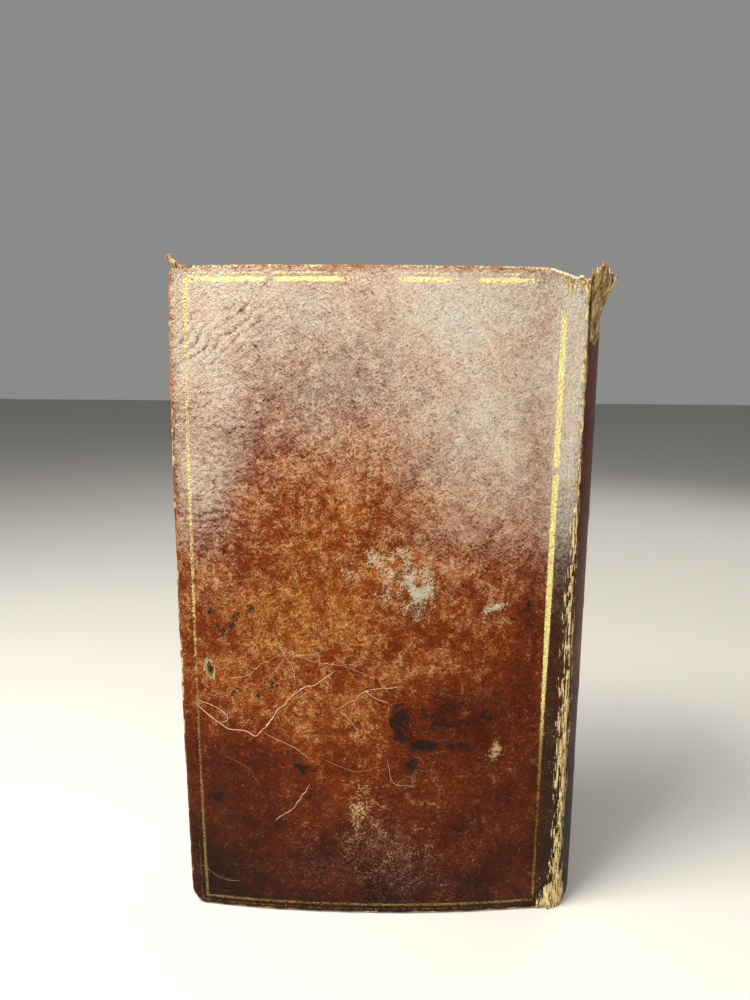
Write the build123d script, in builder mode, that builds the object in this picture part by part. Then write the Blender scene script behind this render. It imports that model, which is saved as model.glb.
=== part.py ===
"""A small leather-bound prayer book, standing upright on its tail edge.

Frame: +Z runs from tail to head, +X from the fore edge to the spine, and +Y from the
back board to the front board. The origin is at the middle of the footprint, on the
surface that the book stands on. Every profile is drawn looking down +Z and extruded.
"""

import math
import os

from build123d import *

# ---------------------------------------------------------------- driving dimensions, mm
BOOK_HEIGHT = 175.0  # boards, from tail edge to head edge
BOOK_WIDTH = 111.1  # fore edge to the crown of the rounded spine
JOINT_HALF_THICKNESS = 16.4  # outer leather at the joint, from the middle plane
SPINE_ROUND = 6.6  # how far the spine's crown stands out from the joints
BACK_ROUND = 4.0  # the same for the sewn back, which is rounded less than the leather
BOARD_BOW = 3.8  # how far the warped boards bulge between fore edge and joint

SECTIONS_PER_SIDE = 7
SECTION_PITCH = 1.65  # thickness of one sewn section, with its share of gap
SECTION_GAP = 0.16
SECTION_WIDTH = 101.0  # from fold to fore edge
TEXT_BOW = 2.2  # how far the outermost section bulges
FOLD_DEPTH = 2.45  # from the arc through the joints in to the arc of the folds
FOLD_NOSE = 0.4  # radius of the pinched fold that each section turns on
FOLD_TAPER = 9.5  # distance from the fold at which a section has its full thickness
SQUARE = 2.5  # how far the boards overhang the leaves at head and tail
FORE_SQUARE = 3.5

LEATHER = 0.7  # calf over the boards
TURN_IN = 0.35  # pared calf turned over the inner face
TURN_IN_WIDTH = 14.0
PASTEBOARD = 2.3
PASTEDOWN = 0.25
PASTEDOWN_MARGIN = 3.0
LEAF = 0.2  # a flyleaf or free endpaper
LEAF_INSET = 0.45  # its fold, from the joint
CORNER_RADIUS = 3.0  # rounded fore corners of the boards
EDGE_RADIUS = 0.45  # soft edge of the leather round the boards
JOINT_GAP = 0.15  # between a board's spine edge and the joint
OVERRUN = 5.0  # how far a blank runs past the outline that trims it

SPINE_LEATHER = 0.9
TORN_LEATHER = 0.45  # what is left of the spine leather near the head
TORN_HEIGHT = 21.0  # how far down from the head the grain layer is gone
TUFT_HEIGHT = 2.5  # frayed ends of the leather that stand up at the head
TUFT_WIDTH = 5.0
TUFT_PLACES = (-8.0, 3.5)  # across the spine, from the middle plane
GLUE_LINE = 0.05
CAP = 0.45  # leather turned in over the tail end of the spine
CAP_DEPTH = 4.2

CORDS = 5
CORD_RADIUS = 0.75
CORD_CLEARANCE = 0.15  # between the cords and the lining
KERF_HEIGHT = 2.2
KERF_DEPTH = 2.6
THREAD_RADIUS = 0.2
KETTLE_INSET = 11.0  # kettle stitches, from the ends of the leaves
SLIP_LENGTH = 17.0
SLIP_WIDTH = 6.0
SLIP = 0.3

ENDBAND_RADIUS = 0.95
ENDBAND_CORE = 0.55
ENDBAND_INSET = 0.5  # the endband's axis, inside the arc of the folds

# ---------------------------------------------------------------- worked out from these
FORE_X = -BOOK_WIDTH / 2
CROWN_X = BOOK_WIDTH / 2
JOINT_X = CROWN_X - SPINE_ROUND
SPINE_RADIUS = (JOINT_HALF_THICKNESS**2 + SPINE_ROUND**2) / (2 * SPINE_ROUND)
SPINE_CENTRE_X = CROWN_X - SPINE_RADIUS
LINING_RADIUS = SPINE_RADIUS - SPINE_LEATHER - GLUE_LINE
SHOULDER_RADIUS = (JOINT_HALF_THICKNESS**2 + BACK_ROUND**2) / (2 * BACK_ROUND)
BACK_CENTRE_X = JOINT_X + BACK_ROUND - SHOULDER_RADIUS
FOLD_RADIUS = SHOULDER_RADIUS - FOLD_DEPTH
BACK_RADIUS = FOLD_RADIUS + CORD_RADIUS + CORD_CLEARANCE

BOARD_END_X = JOINT_X - JOINT_GAP
BOARD_MIDDLE_X = (FORE_X + BOARD_END_X) / 2
BOARD_HALF_CHORD = (BOARD_END_X - FORE_X) / 2
BOARD_RADIUS = (BOARD_HALF_CHORD**2 + BOARD_BOW**2) / (2 * BOARD_BOW)
BOARD_CENTRE_Y = JOINT_HALF_THICKNESS + BOARD_BOW - BOARD_RADIUS
BLANK_HEIGHT = BOOK_HEIGHT + 2 * OVERRUN

LEAVES_LOW = SQUARE
LEAVES_HIGH = BOOK_HEIGHT - SQUARE
TEXT_HALF = SECTIONS_PER_SIDE * SECTION_PITCH
LEAF_FOLD_X = JOINT_X - LEAF_INSET  # the flyleaves and free endpapers turn on this line
LEAF_FORE_X = FORE_X + FORE_SQUARE
FLYLEAF_Y = 12.03
FLYLEAF_BOW = 2.7
ENDPAPER_Y = 12.5
ENDPAPER_BOW = 3.3

FRONT = 1
BACK = -1
SIDES = {"front": FRONT, "back": BACK}


def write(builder, name):
    """Labels a finished piece and writes it as its own STEP file."""
    builder.part.label = name
    export_step(builder.part, f"parts/{name}.step")


def bowed_face(side, near, far, z):
    """A strip between two bowed lines. Each line is (left x, right x, y at its ends, bow)."""
    with BuildSketch(Plane.XY.offset(z)) as strip:
        with BuildLine():
            ends = []
            for left, right, y, bow in (near, far):
                middle = ((left + right) / 2, side * (y + bow))
                ThreePointArc((left, side * y), middle, (right, side * y))
                ends.append(((left, side * y), (right, side * y)))
            Line(ends[0][0], ends[1][0])
            Line(ends[0][1], ends[1][1])
        make_face()
    return strip.sketch


def board_y(depth, x):
    """Distance from the middle plane of the bowed level that lies depth under the leather."""
    radius = BOARD_RADIUS - depth
    return BOARD_CENTRE_Y + math.sqrt(radius**2 - (x - BOARD_MIDDLE_X) ** 2)


def board_face(side, outer, inner, left, right, z):
    """A layer of a bowed board between two depths under its outer surface."""
    middle = (left + right) / 2
    with BuildSketch(Plane.XY.offset(z)) as layer:
        with BuildLine():
            for depth in (outer, inner):
                points = [(x, side * board_y(depth, x)) for x in (left, middle, right)]
                ThreePointArc(*points)
            for x in (left, right):
                Line((x, side * board_y(outer, x)), (x, side * board_y(inner, x)))
        make_face()
    return layer.sketch


def board_blank(side, outer, inner, right):
    """A layer of the board that runs past the outline on its three free edges."""
    return board_face(side, outer, inner, FORE_X - OVERRUN, right, -OVERRUN)


def board_outline(inset):
    """The board seen square on, with its two fore corners rounded."""
    left, right = FORE_X + inset, BOARD_END_X + 2 * OVERRUN
    with BuildSketch(Plane.XZ) as outline:
        with Locations(((left + right) / 2, BOOK_HEIGHT / 2)):
            Rectangle(right - left, BOOK_HEIGHT - 2 * inset)
        fore_corners = outline.vertices().group_by(Axis.X)[0]
        fillet(fore_corners, CORNER_RADIUS - inset)
    return outline.sketch


def spine_face(outer, inner, z):
    """A band of the rounded spine between two radii, cut off square at the joints."""
    with BuildSketch(Plane.XY.offset(z)) as band:
        with Locations((SPINE_CENTRE_X, 0)):
            Circle(outer)
            Circle(inner, mode=Mode.SUBTRACT)
        with Locations((JOINT_X + outer, 0)):
            Rectangle(2 * outer, 4 * outer, mode=Mode.INTERSECT)
    return band.sketch


def fold_x(y):
    """Where the fold of a section lies that sits at y on the rounded back."""
    return BACK_CENTRE_X + math.sqrt(FOLD_RADIUS**2 - y**2)


def cord_heights():
    """Heights of the sewing cords, evenly spaced between the kettle stitches."""
    low, high = LEAVES_LOW + KETTLE_INSET, LEAVES_HIGH - KETTLE_INSET
    step = (high - low) / (CORDS + 1)
    return [low + step * (n + 1) for n in range(CORDS)]


def arc_on_back(radius, half_width, z):
    """A line that follows the rounded back, from one side of the middle plane to the other."""
    half_angle = math.degrees(math.asin(half_width / radius))
    return CenterArc((BACK_CENTRE_X, 0, z), radius, -half_angle, 2 * half_angle)


def round_bar(radius, half_width, z, section_radius, hollow=0.0):
    """A cord, thread or tube that lies round the back at height z."""
    with BuildPart() as bar:
        with BuildLine():
            path = arc_on_back(radius, half_width, z)
        with BuildSketch(Plane(path @ 0, z_dir=path % 0)):
            Circle(section_radius)
            if hollow:
                Circle(hollow, mode=Mode.SUBTRACT)
        sweep(path=path)
    return bar


def make_board(name, side):
    """The pasteboard core, with shallow beds for the sewing slips in its inner face."""
    outer, inner = LEATHER, LEATHER + PASTEBOARD
    with BuildPart() as core:
        extrude(board_blank(side, outer, inner, BOARD_END_X), BLANK_HEIGHT)
        extrude(board_outline(LEATHER), 2 * BOOK_WIDTH, both=True, mode=Mode.INTERSECT)
        for z in cord_heights():
            left = BOARD_END_X - SLIP_LENGTH
            bed = board_face(side, inner - SLIP, inner, left, BOARD_END_X, z - SLIP_WIDTH / 2)
            extrude(bed, SLIP_WIDTH, mode=Mode.SUBTRACT)
    write(core, f"{name}_board")


def make_slips(name, side):
    """The frayed cord ends, pasted down flat on the inner face of the board."""
    clearance = 0.02
    outer, inner = LEATHER + PASTEBOARD - SLIP + clearance, LEATHER + PASTEBOARD - clearance
    left, right = BOARD_END_X - SLIP_LENGTH + clearance, BOARD_END_X - clearance
    width = SLIP_WIDTH - 2 * clearance
    with BuildPart() as slips:
        for z in cord_heights():
            extrude(board_face(side, outer, inner, left, right, z - width / 2), width)
    write(slips, f"{name}_cord_slips")


def make_cover_leather(name, side):
    """The calf over one board: outer face, three wrapped edges and the turn-ins."""
    inner = LEATHER + PASTEBOARD + TURN_IN
    window = (FORE_X + TURN_IN_WIDTH, BOARD_END_X + OVERRUN)
    window_height = BOOK_HEIGHT - 2 * TURN_IN_WIDTH
    with BuildPart() as bed:
        open_end = BOARD_END_X + OVERRUN  # the board shows at its spine edge
        bed_face = board_blank(side, LEATHER, LEATHER + PASTEBOARD, open_end)
        extrude(bed_face, BLANK_HEIGHT)
        extrude(board_outline(LEATHER), 2 * BOOK_WIDTH, both=True, mode=Mode.INTERSECT)
    with BuildPart() as leather:
        extrude(board_blank(side, 0, inner, BOARD_END_X), BLANK_HEIGHT)
        extrude(board_outline(0), 2 * BOOK_WIDTH, both=True, mode=Mode.INTERSECT)
        outer_face = leather.faces().sort_by(Axis.Y)[-1 if side == FRONT else 0]
        wrapped = outer_face.edges().sort_by(Axis.X)[:-1]
        fillet(wrapped, EDGE_RADIUS)
        add(bed.part, mode=Mode.SUBTRACT)
        mid_board = LEATHER + PASTEBOARD / 2  # the opening starts inside the bed
        opening = board_face(side, mid_board, inner + TURN_IN, *window, TURN_IN_WIDTH)
        extrude(opening, window_height, mode=Mode.SUBTRACT)
    write(leather, f"{name}_cover_leather")


def make_pastedown(name, side):
    """The endpaper pasted inside the board: over the turn-ins and down onto the board."""
    clearance = 0.02
    board_level = LEATHER + PASTEBOARD + clearance
    turn_in_level = LEATHER + PASTEBOARD + TURN_IN + clearance
    face_level = turn_in_level + PASTEDOWN - clearance
    left = FORE_X + PASTEDOWN_MARGIN
    right = BOARD_END_X - clearance
    inner_left = FORE_X + TURN_IN_WIDTH + clearance
    inner_low = TURN_IN_WIDTH + clearance
    with BuildPart() as paper:
        sheet = board_face(side, turn_in_level, face_level, left, right, PASTEDOWN_MARGIN)
        extrude(sheet, BOOK_HEIGHT - 2 * PASTEDOWN_MARGIN)
        step = board_face(side, board_level, face_level, inner_left, right, inner_low)
        extrude(step, BOOK_HEIGHT - 2 * inner_low)
    write(paper, f"{name}_pastedown")


def make_leaf(name, side, y, bow):
    """One flyleaf or free endpaper: a thin bowed sheet that turns on its fold."""
    near = (LEAF_FORE_X, LEAF_FOLD_X, y - LEAF / 2, bow)
    far = (LEAF_FORE_X, LEAF_FOLD_X, y + LEAF / 2, bow)
    with BuildPart() as leaf:
        extrude(bowed_face(side, near, far, LEAVES_LOW), LEAVES_HIGH - LEAVES_LOW)
    write(leaf, name)


def make_section(name, side, place):
    """One sewn section, pinched at its fold, with kerfs where the cords cross its back."""
    low = place * SECTION_PITCH + SECTION_GAP / 2
    high = (place + 1) * SECTION_PITCH - SECTION_GAP / 2
    middle = (low + high) / 2
    fold = fold_x(middle)
    fore = fold - SECTION_WIDTH
    shoulder = fold - FOLD_TAPER
    levels = [(y, TEXT_BOW * y / TEXT_HALF) for y in (low, high)]

    def on_bow(y, bow, x):
        share = (x - fore) / SECTION_WIDTH
        return y + 4 * bow * share * (1 - share)

    with BuildPart() as section:
        with BuildSketch(Plane.XY.offset(LEAVES_LOW)):
            with BuildLine():
                for y, bow in levels:
                    halfway = (fore + shoulder) / 2
                    ThreePointArc(
                        (fore, side * y),
                        (halfway, side * on_bow(y, bow, halfway)),
                        (shoulder, side * on_bow(y, bow, shoulder)),
                    )
                    nose_y = middle + (FOLD_NOSE if y > middle else -FOLD_NOSE)
                    Line((shoulder, side * on_bow(y, bow, shoulder)), (fold, side * nose_y))
                Line((fore, side * low), (fore, side * high))
                ThreePointArc(
                    (fold, side * (middle - FOLD_NOSE)),
                    (fold + FOLD_NOSE, side * middle),
                    (fold, side * (middle + FOLD_NOSE)),
                )
            make_face()
        extrude(amount=LEAVES_HIGH - LEAVES_LOW)
        with Locations([(fold, side * middle, z) for z in cord_heights()]):
            Box(2 * KERF_DEPTH, 4 * SECTION_PITCH, KERF_HEIGHT, mode=Mode.SUBTRACT)
    write(section, name)
    return fold, side * middle


def make_spine_leather():
    """The calf over the back, with its cap at the tail and its torn, split head."""
    grain_top = BOOK_HEIGHT - TORN_HEIGHT
    inner = SPINE_RADIUS - SPINE_LEATHER
    with BuildPart() as leather:
        extrude(spine_face(SPINE_RADIUS, inner, 0), grain_top)
        extrude(spine_face(inner + TORN_LEATHER, inner, grain_top), TORN_HEIGHT)
        extrude(spine_face(inner, inner - CAP_DEPTH, 0), CAP)
        with BuildSketch(Plane.XY.offset(BOOK_HEIGHT)):
            add(spine_face(inner + TORN_LEATHER, inner, BOOK_HEIGHT))
            with Locations(*[(CROWN_X, y) for y in TUFT_PLACES]):
                Rectangle(4 * SPINE_ROUND, TUFT_WIDTH, mode=Mode.INTERSECT)
        extrude(amount=TUFT_HEIGHT)
    write(leather, "spine_leather")


def make_spine_lining():
    """The lining built up in paper over the sewn back: thick at the crown, none at the joints."""
    with BuildPart() as lining:
        with BuildSketch(Plane.XY.offset(LEAVES_LOW)):
            with Locations((SPINE_CENTRE_X, 0)):
                Circle(LINING_RADIUS)
            with Locations((BACK_CENTRE_X, 0)):
                Circle(BACK_RADIUS, mode=Mode.SUBTRACT)
            with Locations((JOINT_X + GLUE_LINE + LINING_RADIUS, 0)):
                Rectangle(2 * LINING_RADIUS, 4 * LINING_RADIUS, mode=Mode.INTERSECT)
        extrude(amount=LEAVES_HIGH - LEAVES_LOW)
    write(lining, "spine_lining")


def make_cords():
    """The recessed sewing cords, each lying round the back in the sections' kerfs."""
    half_width = TEXT_HALF - SECTION_GAP
    for n, z in enumerate(cord_heights(), start=1):
        cord = round_bar(FOLD_RADIUS, half_width, z, CORD_RADIUS)
        write(cord, f"sewing_cord_{n}")


def make_kettle_stitches():
    """The linked thread that ties the sections together near head and tail."""
    radius = BACK_RADIUS - GLUE_LINE - THREAD_RADIUS
    half_width = TEXT_HALF - SECTION_PITCH / 2
    heights = {
        "tail": LEAVES_LOW + KETTLE_INSET,
        "head": LEAVES_HIGH - KETTLE_INSET,
    }
    for end, z in heights.items():
        write(round_bar(radius, half_width, z, THREAD_RADIUS), f"{end}_kettle_stitch")


def make_endbands():
    """A cord core with worked silk over it, on the leaves at head and tail."""
    clearance = 0.1
    radius = FOLD_RADIUS - ENDBAND_INSET
    half_width = TEXT_HALF - SECTION_PITCH / 2
    heights = {
        "tail": LEAVES_LOW - clearance - ENDBAND_RADIUS,
        "head": LEAVES_HIGH + clearance + ENDBAND_RADIUS,
    }
    for end, z in heights.items():
        core = round_bar(radius, half_width, z, ENDBAND_CORE)
        write(core, f"{end}_endband_core")
        bore = ENDBAND_CORE + clearance / 5
        silk = round_bar(radius, half_width, z, ENDBAND_RADIUS, bore)
        write(silk, f"{end}_endband_silk")


def main():
    """Makes every piece of the book and prints the lines that the moving ones turn on."""
    os.makedirs("parts", exist_ok=True)
    for name, side in SIDES.items():
        make_board(name, side)
        make_slips(name, side)
        make_cover_leather(name, side)
        make_pastedown(name, side)
        make_leaf(f"{name}_free_endpaper", side, ENDPAPER_Y, ENDPAPER_BOW)
        make_leaf(f"{name}_flyleaf", side, FLYLEAF_Y, FLYLEAF_BOW)
    for number in range(1, 2 * SECTIONS_PER_SIDE + 1):
        ahead = SECTIONS_PER_SIDE - number  # counted from the front board
        side, place = (FRONT, ahead) if ahead >= 0 else (BACK, -ahead - 1)
        x, y = make_section(f"section_{number:02d}", side, place)
        print(f"section_{number:02d} turns on x {x:.4f} y {y:.4f}")
    make_spine_leather()
    make_spine_lining()
    make_cords()
    make_kettle_stitches()
    make_endbands()


main()
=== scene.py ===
"""The looks of a small hand prayer book, bound in calf that has been handled for two centuries.

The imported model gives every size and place. Lengths here are millimetres in the frame of that
model and become metres only when a mesh is made. A place on a cover is given as (across, up):
across runs from the fore edge to the joint and on over the spine, up from the tail to the head.
"""

import logging
import math
from dataclasses import dataclass
from enum import Enum

import bmesh
import bpy
import numpy as np
from mathutils import Matrix, Vector


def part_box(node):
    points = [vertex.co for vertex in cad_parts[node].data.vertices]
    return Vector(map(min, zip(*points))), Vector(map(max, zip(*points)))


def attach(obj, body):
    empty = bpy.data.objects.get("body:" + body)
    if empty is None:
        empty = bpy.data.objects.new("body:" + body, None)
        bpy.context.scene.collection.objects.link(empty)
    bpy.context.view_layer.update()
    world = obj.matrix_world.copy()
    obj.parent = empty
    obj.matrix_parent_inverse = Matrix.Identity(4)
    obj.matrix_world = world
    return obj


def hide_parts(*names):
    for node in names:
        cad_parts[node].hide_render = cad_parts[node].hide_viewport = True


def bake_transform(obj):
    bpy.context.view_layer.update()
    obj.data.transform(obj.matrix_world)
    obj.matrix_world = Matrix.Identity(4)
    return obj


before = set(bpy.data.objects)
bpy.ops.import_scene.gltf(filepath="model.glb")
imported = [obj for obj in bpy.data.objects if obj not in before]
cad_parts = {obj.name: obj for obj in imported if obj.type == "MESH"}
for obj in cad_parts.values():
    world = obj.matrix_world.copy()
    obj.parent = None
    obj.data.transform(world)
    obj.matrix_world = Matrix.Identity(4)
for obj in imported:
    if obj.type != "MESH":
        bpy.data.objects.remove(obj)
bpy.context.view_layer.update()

MM = 0.001
SHARP = math.radians(50)

logging.basicConfig(level=logging.INFO, format="%(levelname)s %(message)s")
log = logging.getLogger("prayer_book")


class Side(Enum):
    """Which board a piece belongs to; the value is the sign of its y."""

    FRONT = 1
    BACK = -1

    @property
    def word(self) -> str:
        """The side's name as the nodes and bodies use it."""
        return self.name.lower()


# ------------------------------------------------------------------------------ numbers


def smooth_step(low: float, high: float, value: np.ndarray) -> np.ndarray:
    """Rises smoothly from 0 at low to 1 at high: 3t squared less 2t cubed.

    Args:
        low: where the rise starts.
        high: where it ends; below low, the step falls instead.
        value: the numbers to read.

    Returns:
        The step at each number.
    """
    t = np.clip((value - low) / (high - low), 0.0, 1.0)
    return t * t * (3.0 - 2.0 * t)


def lattice(i: np.ndarray, j: np.ndarray, seed: int) -> np.ndarray:
    """A repeatable random number from 0 to 1 for each pair of whole numbers.

    Args:
        i: first whole numbers.
        j: second whole numbers.
        seed: picks another set of numbers.

    Returns:
        The pair hashed by multiplying, shifting and folding its bits.
    """
    h = i.astype(np.int64) * 374761393 + j.astype(np.int64) * 668265263 + seed * 69069
    h = ((h ^ (h >> 13)) * 1274126177) & 0xFFFFFFFF
    return ((h ^ (h >> 16)) & 0xFFFF) / 65535.0


def noise(
    u: np.ndarray, v: np.ndarray, cell: float, seed: int, stretch: float = 1.0, octaves: int = 3
) -> np.ndarray:
    """Smooth random bumps from about -1 to 1, each octave half as high and half as wide.

    Args:
        u: first coordinate, mm.
        v: second coordinate, mm.
        cell: width of the largest bumps along u, mm.
        seed: picks another pattern.
        stretch: how many times longer the bumps are along v.
        octaves: how many layers are added up.

    Returns:
        Random corner values blended across each cell by the smooth step.
    """
    total = np.zeros(np.broadcast(u, v).shape)
    height = 1.0
    for octave in range(octaves):
        x, y = u / cell + 17.3 * octave, v / (cell * stretch) + 5.9 * octave
        i, j = np.floor(x), np.floor(y)
        p, q = x - i, y - j
        p, q = p * p * (3 - 2 * p), q * q * (3 - 2 * q)
        low = lattice(i, j, seed) * (1 - p) + lattice(i + 1, j, seed) * p
        high = lattice(i, j + 1, seed) * (1 - p) + lattice(i + 1, j + 1, seed) * p
        total = total + height * (2.0 * (low * (1 - q) + high * q) - 1.0)
        height, cell, seed = height / 2, cell / 2, seed + 101
    return total / (2.0 - 2.0 * height)


def spots(
    across: np.ndarray, up: np.ndarray, places: tuple[tuple[float, ...], ...]
) -> np.ndarray:
    """Soft oval spots: the exponential of minus the squared distance from each centre.

    Args:
        across: where to read, mm.
        up: where to read, mm.
        places: (across, up, half width, half height, strength, turn in degrees) of each spot.

    Returns:
        The sum of the spots.
    """
    total = np.zeros(across.shape)
    for centre_a, centre_b, wide, high, strength, turn in places:
        cos, sin = math.cos(math.radians(turn)), math.sin(math.radians(turn))
        da, db = across - centre_a, up - centre_b
        along, beside = (da * cos + db * sin) / wide, (db * cos - da * sin) / high
        total += strength * np.exp(-(along**2) - beside**2)
    return total


def smooth_line(points: np.ndarray, steps: int = 6) -> np.ndarray:
    """Rounds a broken line off: a Catmull-Rom curve through its corner points.

    Each span's cubic has its slope at a corner from the two neighbouring corners.

    Args:
        points: the corners, one per row.
        steps: how many short pieces each span gets.

    Returns:
        The points of the rounded line.
    """
    padded = np.concatenate([2 * points[:1] - points[1:2], points, 2 * points[-1:] - points[-2:-1]])
    p0, p1, p2, p3 = (padded[i : len(padded) - 3 + i, None] for i in range(4))
    t = np.linspace(0, 1, steps, endpoint=False)[None, :, None]
    bend = (2 * p0 - 5 * p1 + 4 * p2 - p3) * t**2 + (3 * p1 - p0 - 3 * p2 + p3) * t**3
    spans = p1 + 0.5 * ((p2 - p0) * t + bend)
    return np.concatenate([spans.reshape(-1, points.shape[1]), points[-1:]])


def nearest_line(
    across: np.ndarray, up: np.ndarray, lines: tuple[tuple, ...]
) -> tuple[np.ndarray, np.ndarray, np.ndarray]:
    """How far each point is from the nearest of several smoothed lines.

    Args:
        across: where to read, mm.
        up: where to read, mm.
        lines: (strength, corner points) of each line, mm.

    Returns:
        The distance; the same signed by the side of the line, so that it runs straight through
        zero on it; and the strength of the nearest line.
    """
    near, signed = np.full(across.shape, 9.0), np.full(across.shape, 9.0)
    strength = np.zeros(across.shape)
    for force, corners in lines:
        line = smooth_line(np.array(corners, float))
        for (a0, b0), (a1, b1) in zip(line, line[1:]):
            run = math.hypot(a1 - a0, b1 - b0)
            ta, tb = (a1 - a0) / run, (b1 - b0) / run
            along = np.clip((across - a0) * ta + (up - b0) * tb, 0.0, run)
            distance = np.hypot(across - a0 - along * ta, up - b0 - along * tb)
            beside = (across - a0) * tb - (up - b0) * ta
            closer = distance < near
            near = np.where(closer, distance, near)
            signed = np.where(closer, np.sign(beside) * distance, signed)
            strength = np.where(closer, force, strength)
    return near, signed, strength


# ------------------------------------------------------------------------------- meshes


def grid_faces(rows: int, columns: int) -> np.ndarray:
    """Corner numbers of the quads of a grid whose points are stored row by row.

    Args:
        rows: how many rows of points there are.
        columns: how many points a row has.

    Returns:
        Four corner numbers for each quad.
    """
    corner = np.arange(rows - 1)[:, None] * columns + np.arange(columns - 1)[None, :]
    corner = corner.ravel()
    return np.stack([corner, corner + 1, corner + columns + 1, corner + columns], axis=1)


def rim_of(rows: int, columns: int) -> np.ndarray:
    """Numbers of a grid's outermost points, in order round its edge."""
    index = np.arange(rows * columns).reshape(rows, columns)
    return np.concatenate([index[0, :-1], index[:-1, -1], index[-1, :0:-1], index[:0:-1, 0]])


def shell(front: np.ndarray, back: np.ndarray) -> tuple[np.ndarray, np.ndarray]:
    """Closes two matching grids of points into one solid: two faces and a rim round them.

    Args:
        front: points of one face, rows by columns by three.
        back: points of the other face, matched point for point.

    Returns:
        The points and the quads of the solid.
    """
    rows, columns = front.shape[:2]
    count = rows * columns
    faces = grid_faces(rows, columns)
    edge = rim_of(rows, columns)
    after = np.roll(edge, -1)
    sides = np.stack([edge, edge + count, after + count, after], axis=1)
    points = np.concatenate([front.reshape(-1, 3), back.reshape(-1, 3)])
    return points, np.concatenate([faces, faces[:, ::-1] + count, sides])


def join(solids: list[tuple[np.ndarray, np.ndarray]]) -> tuple[np.ndarray, np.ndarray]:
    """Puts several solids' points and quads end to end as one.

    Args:
        solids: the points and the quads of each.

    Returns:
        All the points, and all the quads with their corner numbers moved on to match.
    """
    offsets = np.cumsum([0] + [len(points) for points, _ in solids[:-1]])
    points = np.concatenate([points for points, _ in solids])
    return points, np.concatenate([faces + o for (_, faces), o in zip(solids, offsets)])


def tube(
    path: np.ndarray, first: np.ndarray, second: np.ndarray, radius: np.ndarray
) -> tuple[np.ndarray, np.ndarray, np.ndarray]:
    """A closed tube: a ring round each point of a path, and a fan-free cap at each end.

    Each ring is the path point plus radius times the cosine along the first direction and the
    sine along the second.

    Args:
        path: points of the middle line.
        first: unit direction across the path at each point.
        second: the other direction across the path at each point.
        radius: one radius for each point and place round the ring.

    Returns:
        The points, the quads and the two end faces.
    """
    count = radius.shape[1]
    around = np.linspace(0, 2 * math.pi, count, endpoint=False)
    ring = first[:, None] * np.cos(around)[:, None] + second[:, None] * np.sin(around)[:, None]
    points = (path[:, None] + radius[..., None] * ring).reshape(-1, 3)
    index = np.arange(len(points)).reshape(len(path), count)
    index = np.concatenate([index, index[:, :1]], axis=1)
    quads = [index[:-1, :-1], index[1:, :-1], index[1:, 1:], index[:-1, 1:]]
    caps = np.stack([index[0, :-1], index[-1, :-1][::-1]])
    return points, np.stack(quads, axis=-1).reshape(-1, 4), caps


def add_piece(
    name: str,
    points: np.ndarray,
    faces: list[np.ndarray],
    material: bpy.types.Material,
    marks: dict[str, np.ndarray] | None = None,
) -> bpy.types.Object:
    """Makes a smooth mesh object with its faces turned outwards.

    Args:
        name: the piece's name.
        points: its points, mm.
        faces: blocks of faces, each block with one number of corners.
        material: its finish.
        marks: values to keep on the points for the finish to read.

    Returns:
        The new object, at the origin.
    """
    mesh = bpy.data.meshes.new(name)
    corners = np.concatenate([block.ravel() for block in faces]).astype(np.int32)
    totals = np.concatenate([np.full(len(block), block.shape[1]) for block in faces])
    starts = np.concatenate([[0], np.cumsum(totals)[:-1]]).astype(np.int32)
    mesh.vertices.add(len(points))
    mesh.vertices.foreach_set("co", (points * MM).astype(np.float32).ravel())
    mesh.loops.add(len(corners))
    mesh.loops.foreach_set("vertex_index", corners)
    mesh.polygons.add(len(totals))
    mesh.polygons.foreach_set("loop_start", starts)
    mesh.polygons.foreach_set("use_smooth", np.ones(len(totals), bool))
    mesh.update(calc_edges=True)
    for mark, values in (marks or {}).items():
        layer = mesh.attributes.new(mark, "FLOAT", "POINT")
        layer.data.foreach_set("value", values.astype(np.float32).ravel())
    turned = bmesh.new()
    turned.from_mesh(mesh)
    bmesh.ops.recalc_face_normals(turned, faces=turned.faces)
    turned.to_mesh(mesh)
    turned.free()
    mesh.set_sharp_from_angle(angle=SHARP)
    mesh.materials.append(material)
    piece = bpy.data.objects.new(name, mesh)
    bpy.context.scene.collection.objects.link(piece)
    log.info("%s: %d points, %d faces", name, len(points), len(totals))
    return piece


# --------------------------------------------------------------------------- the sizes


def node_box(node: str) -> tuple[np.ndarray, np.ndarray]:
    """Lowest and highest corners of a CAD node at rest, mm."""
    low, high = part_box(node)
    return np.array(low) / MM, np.array(high) / MM


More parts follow.
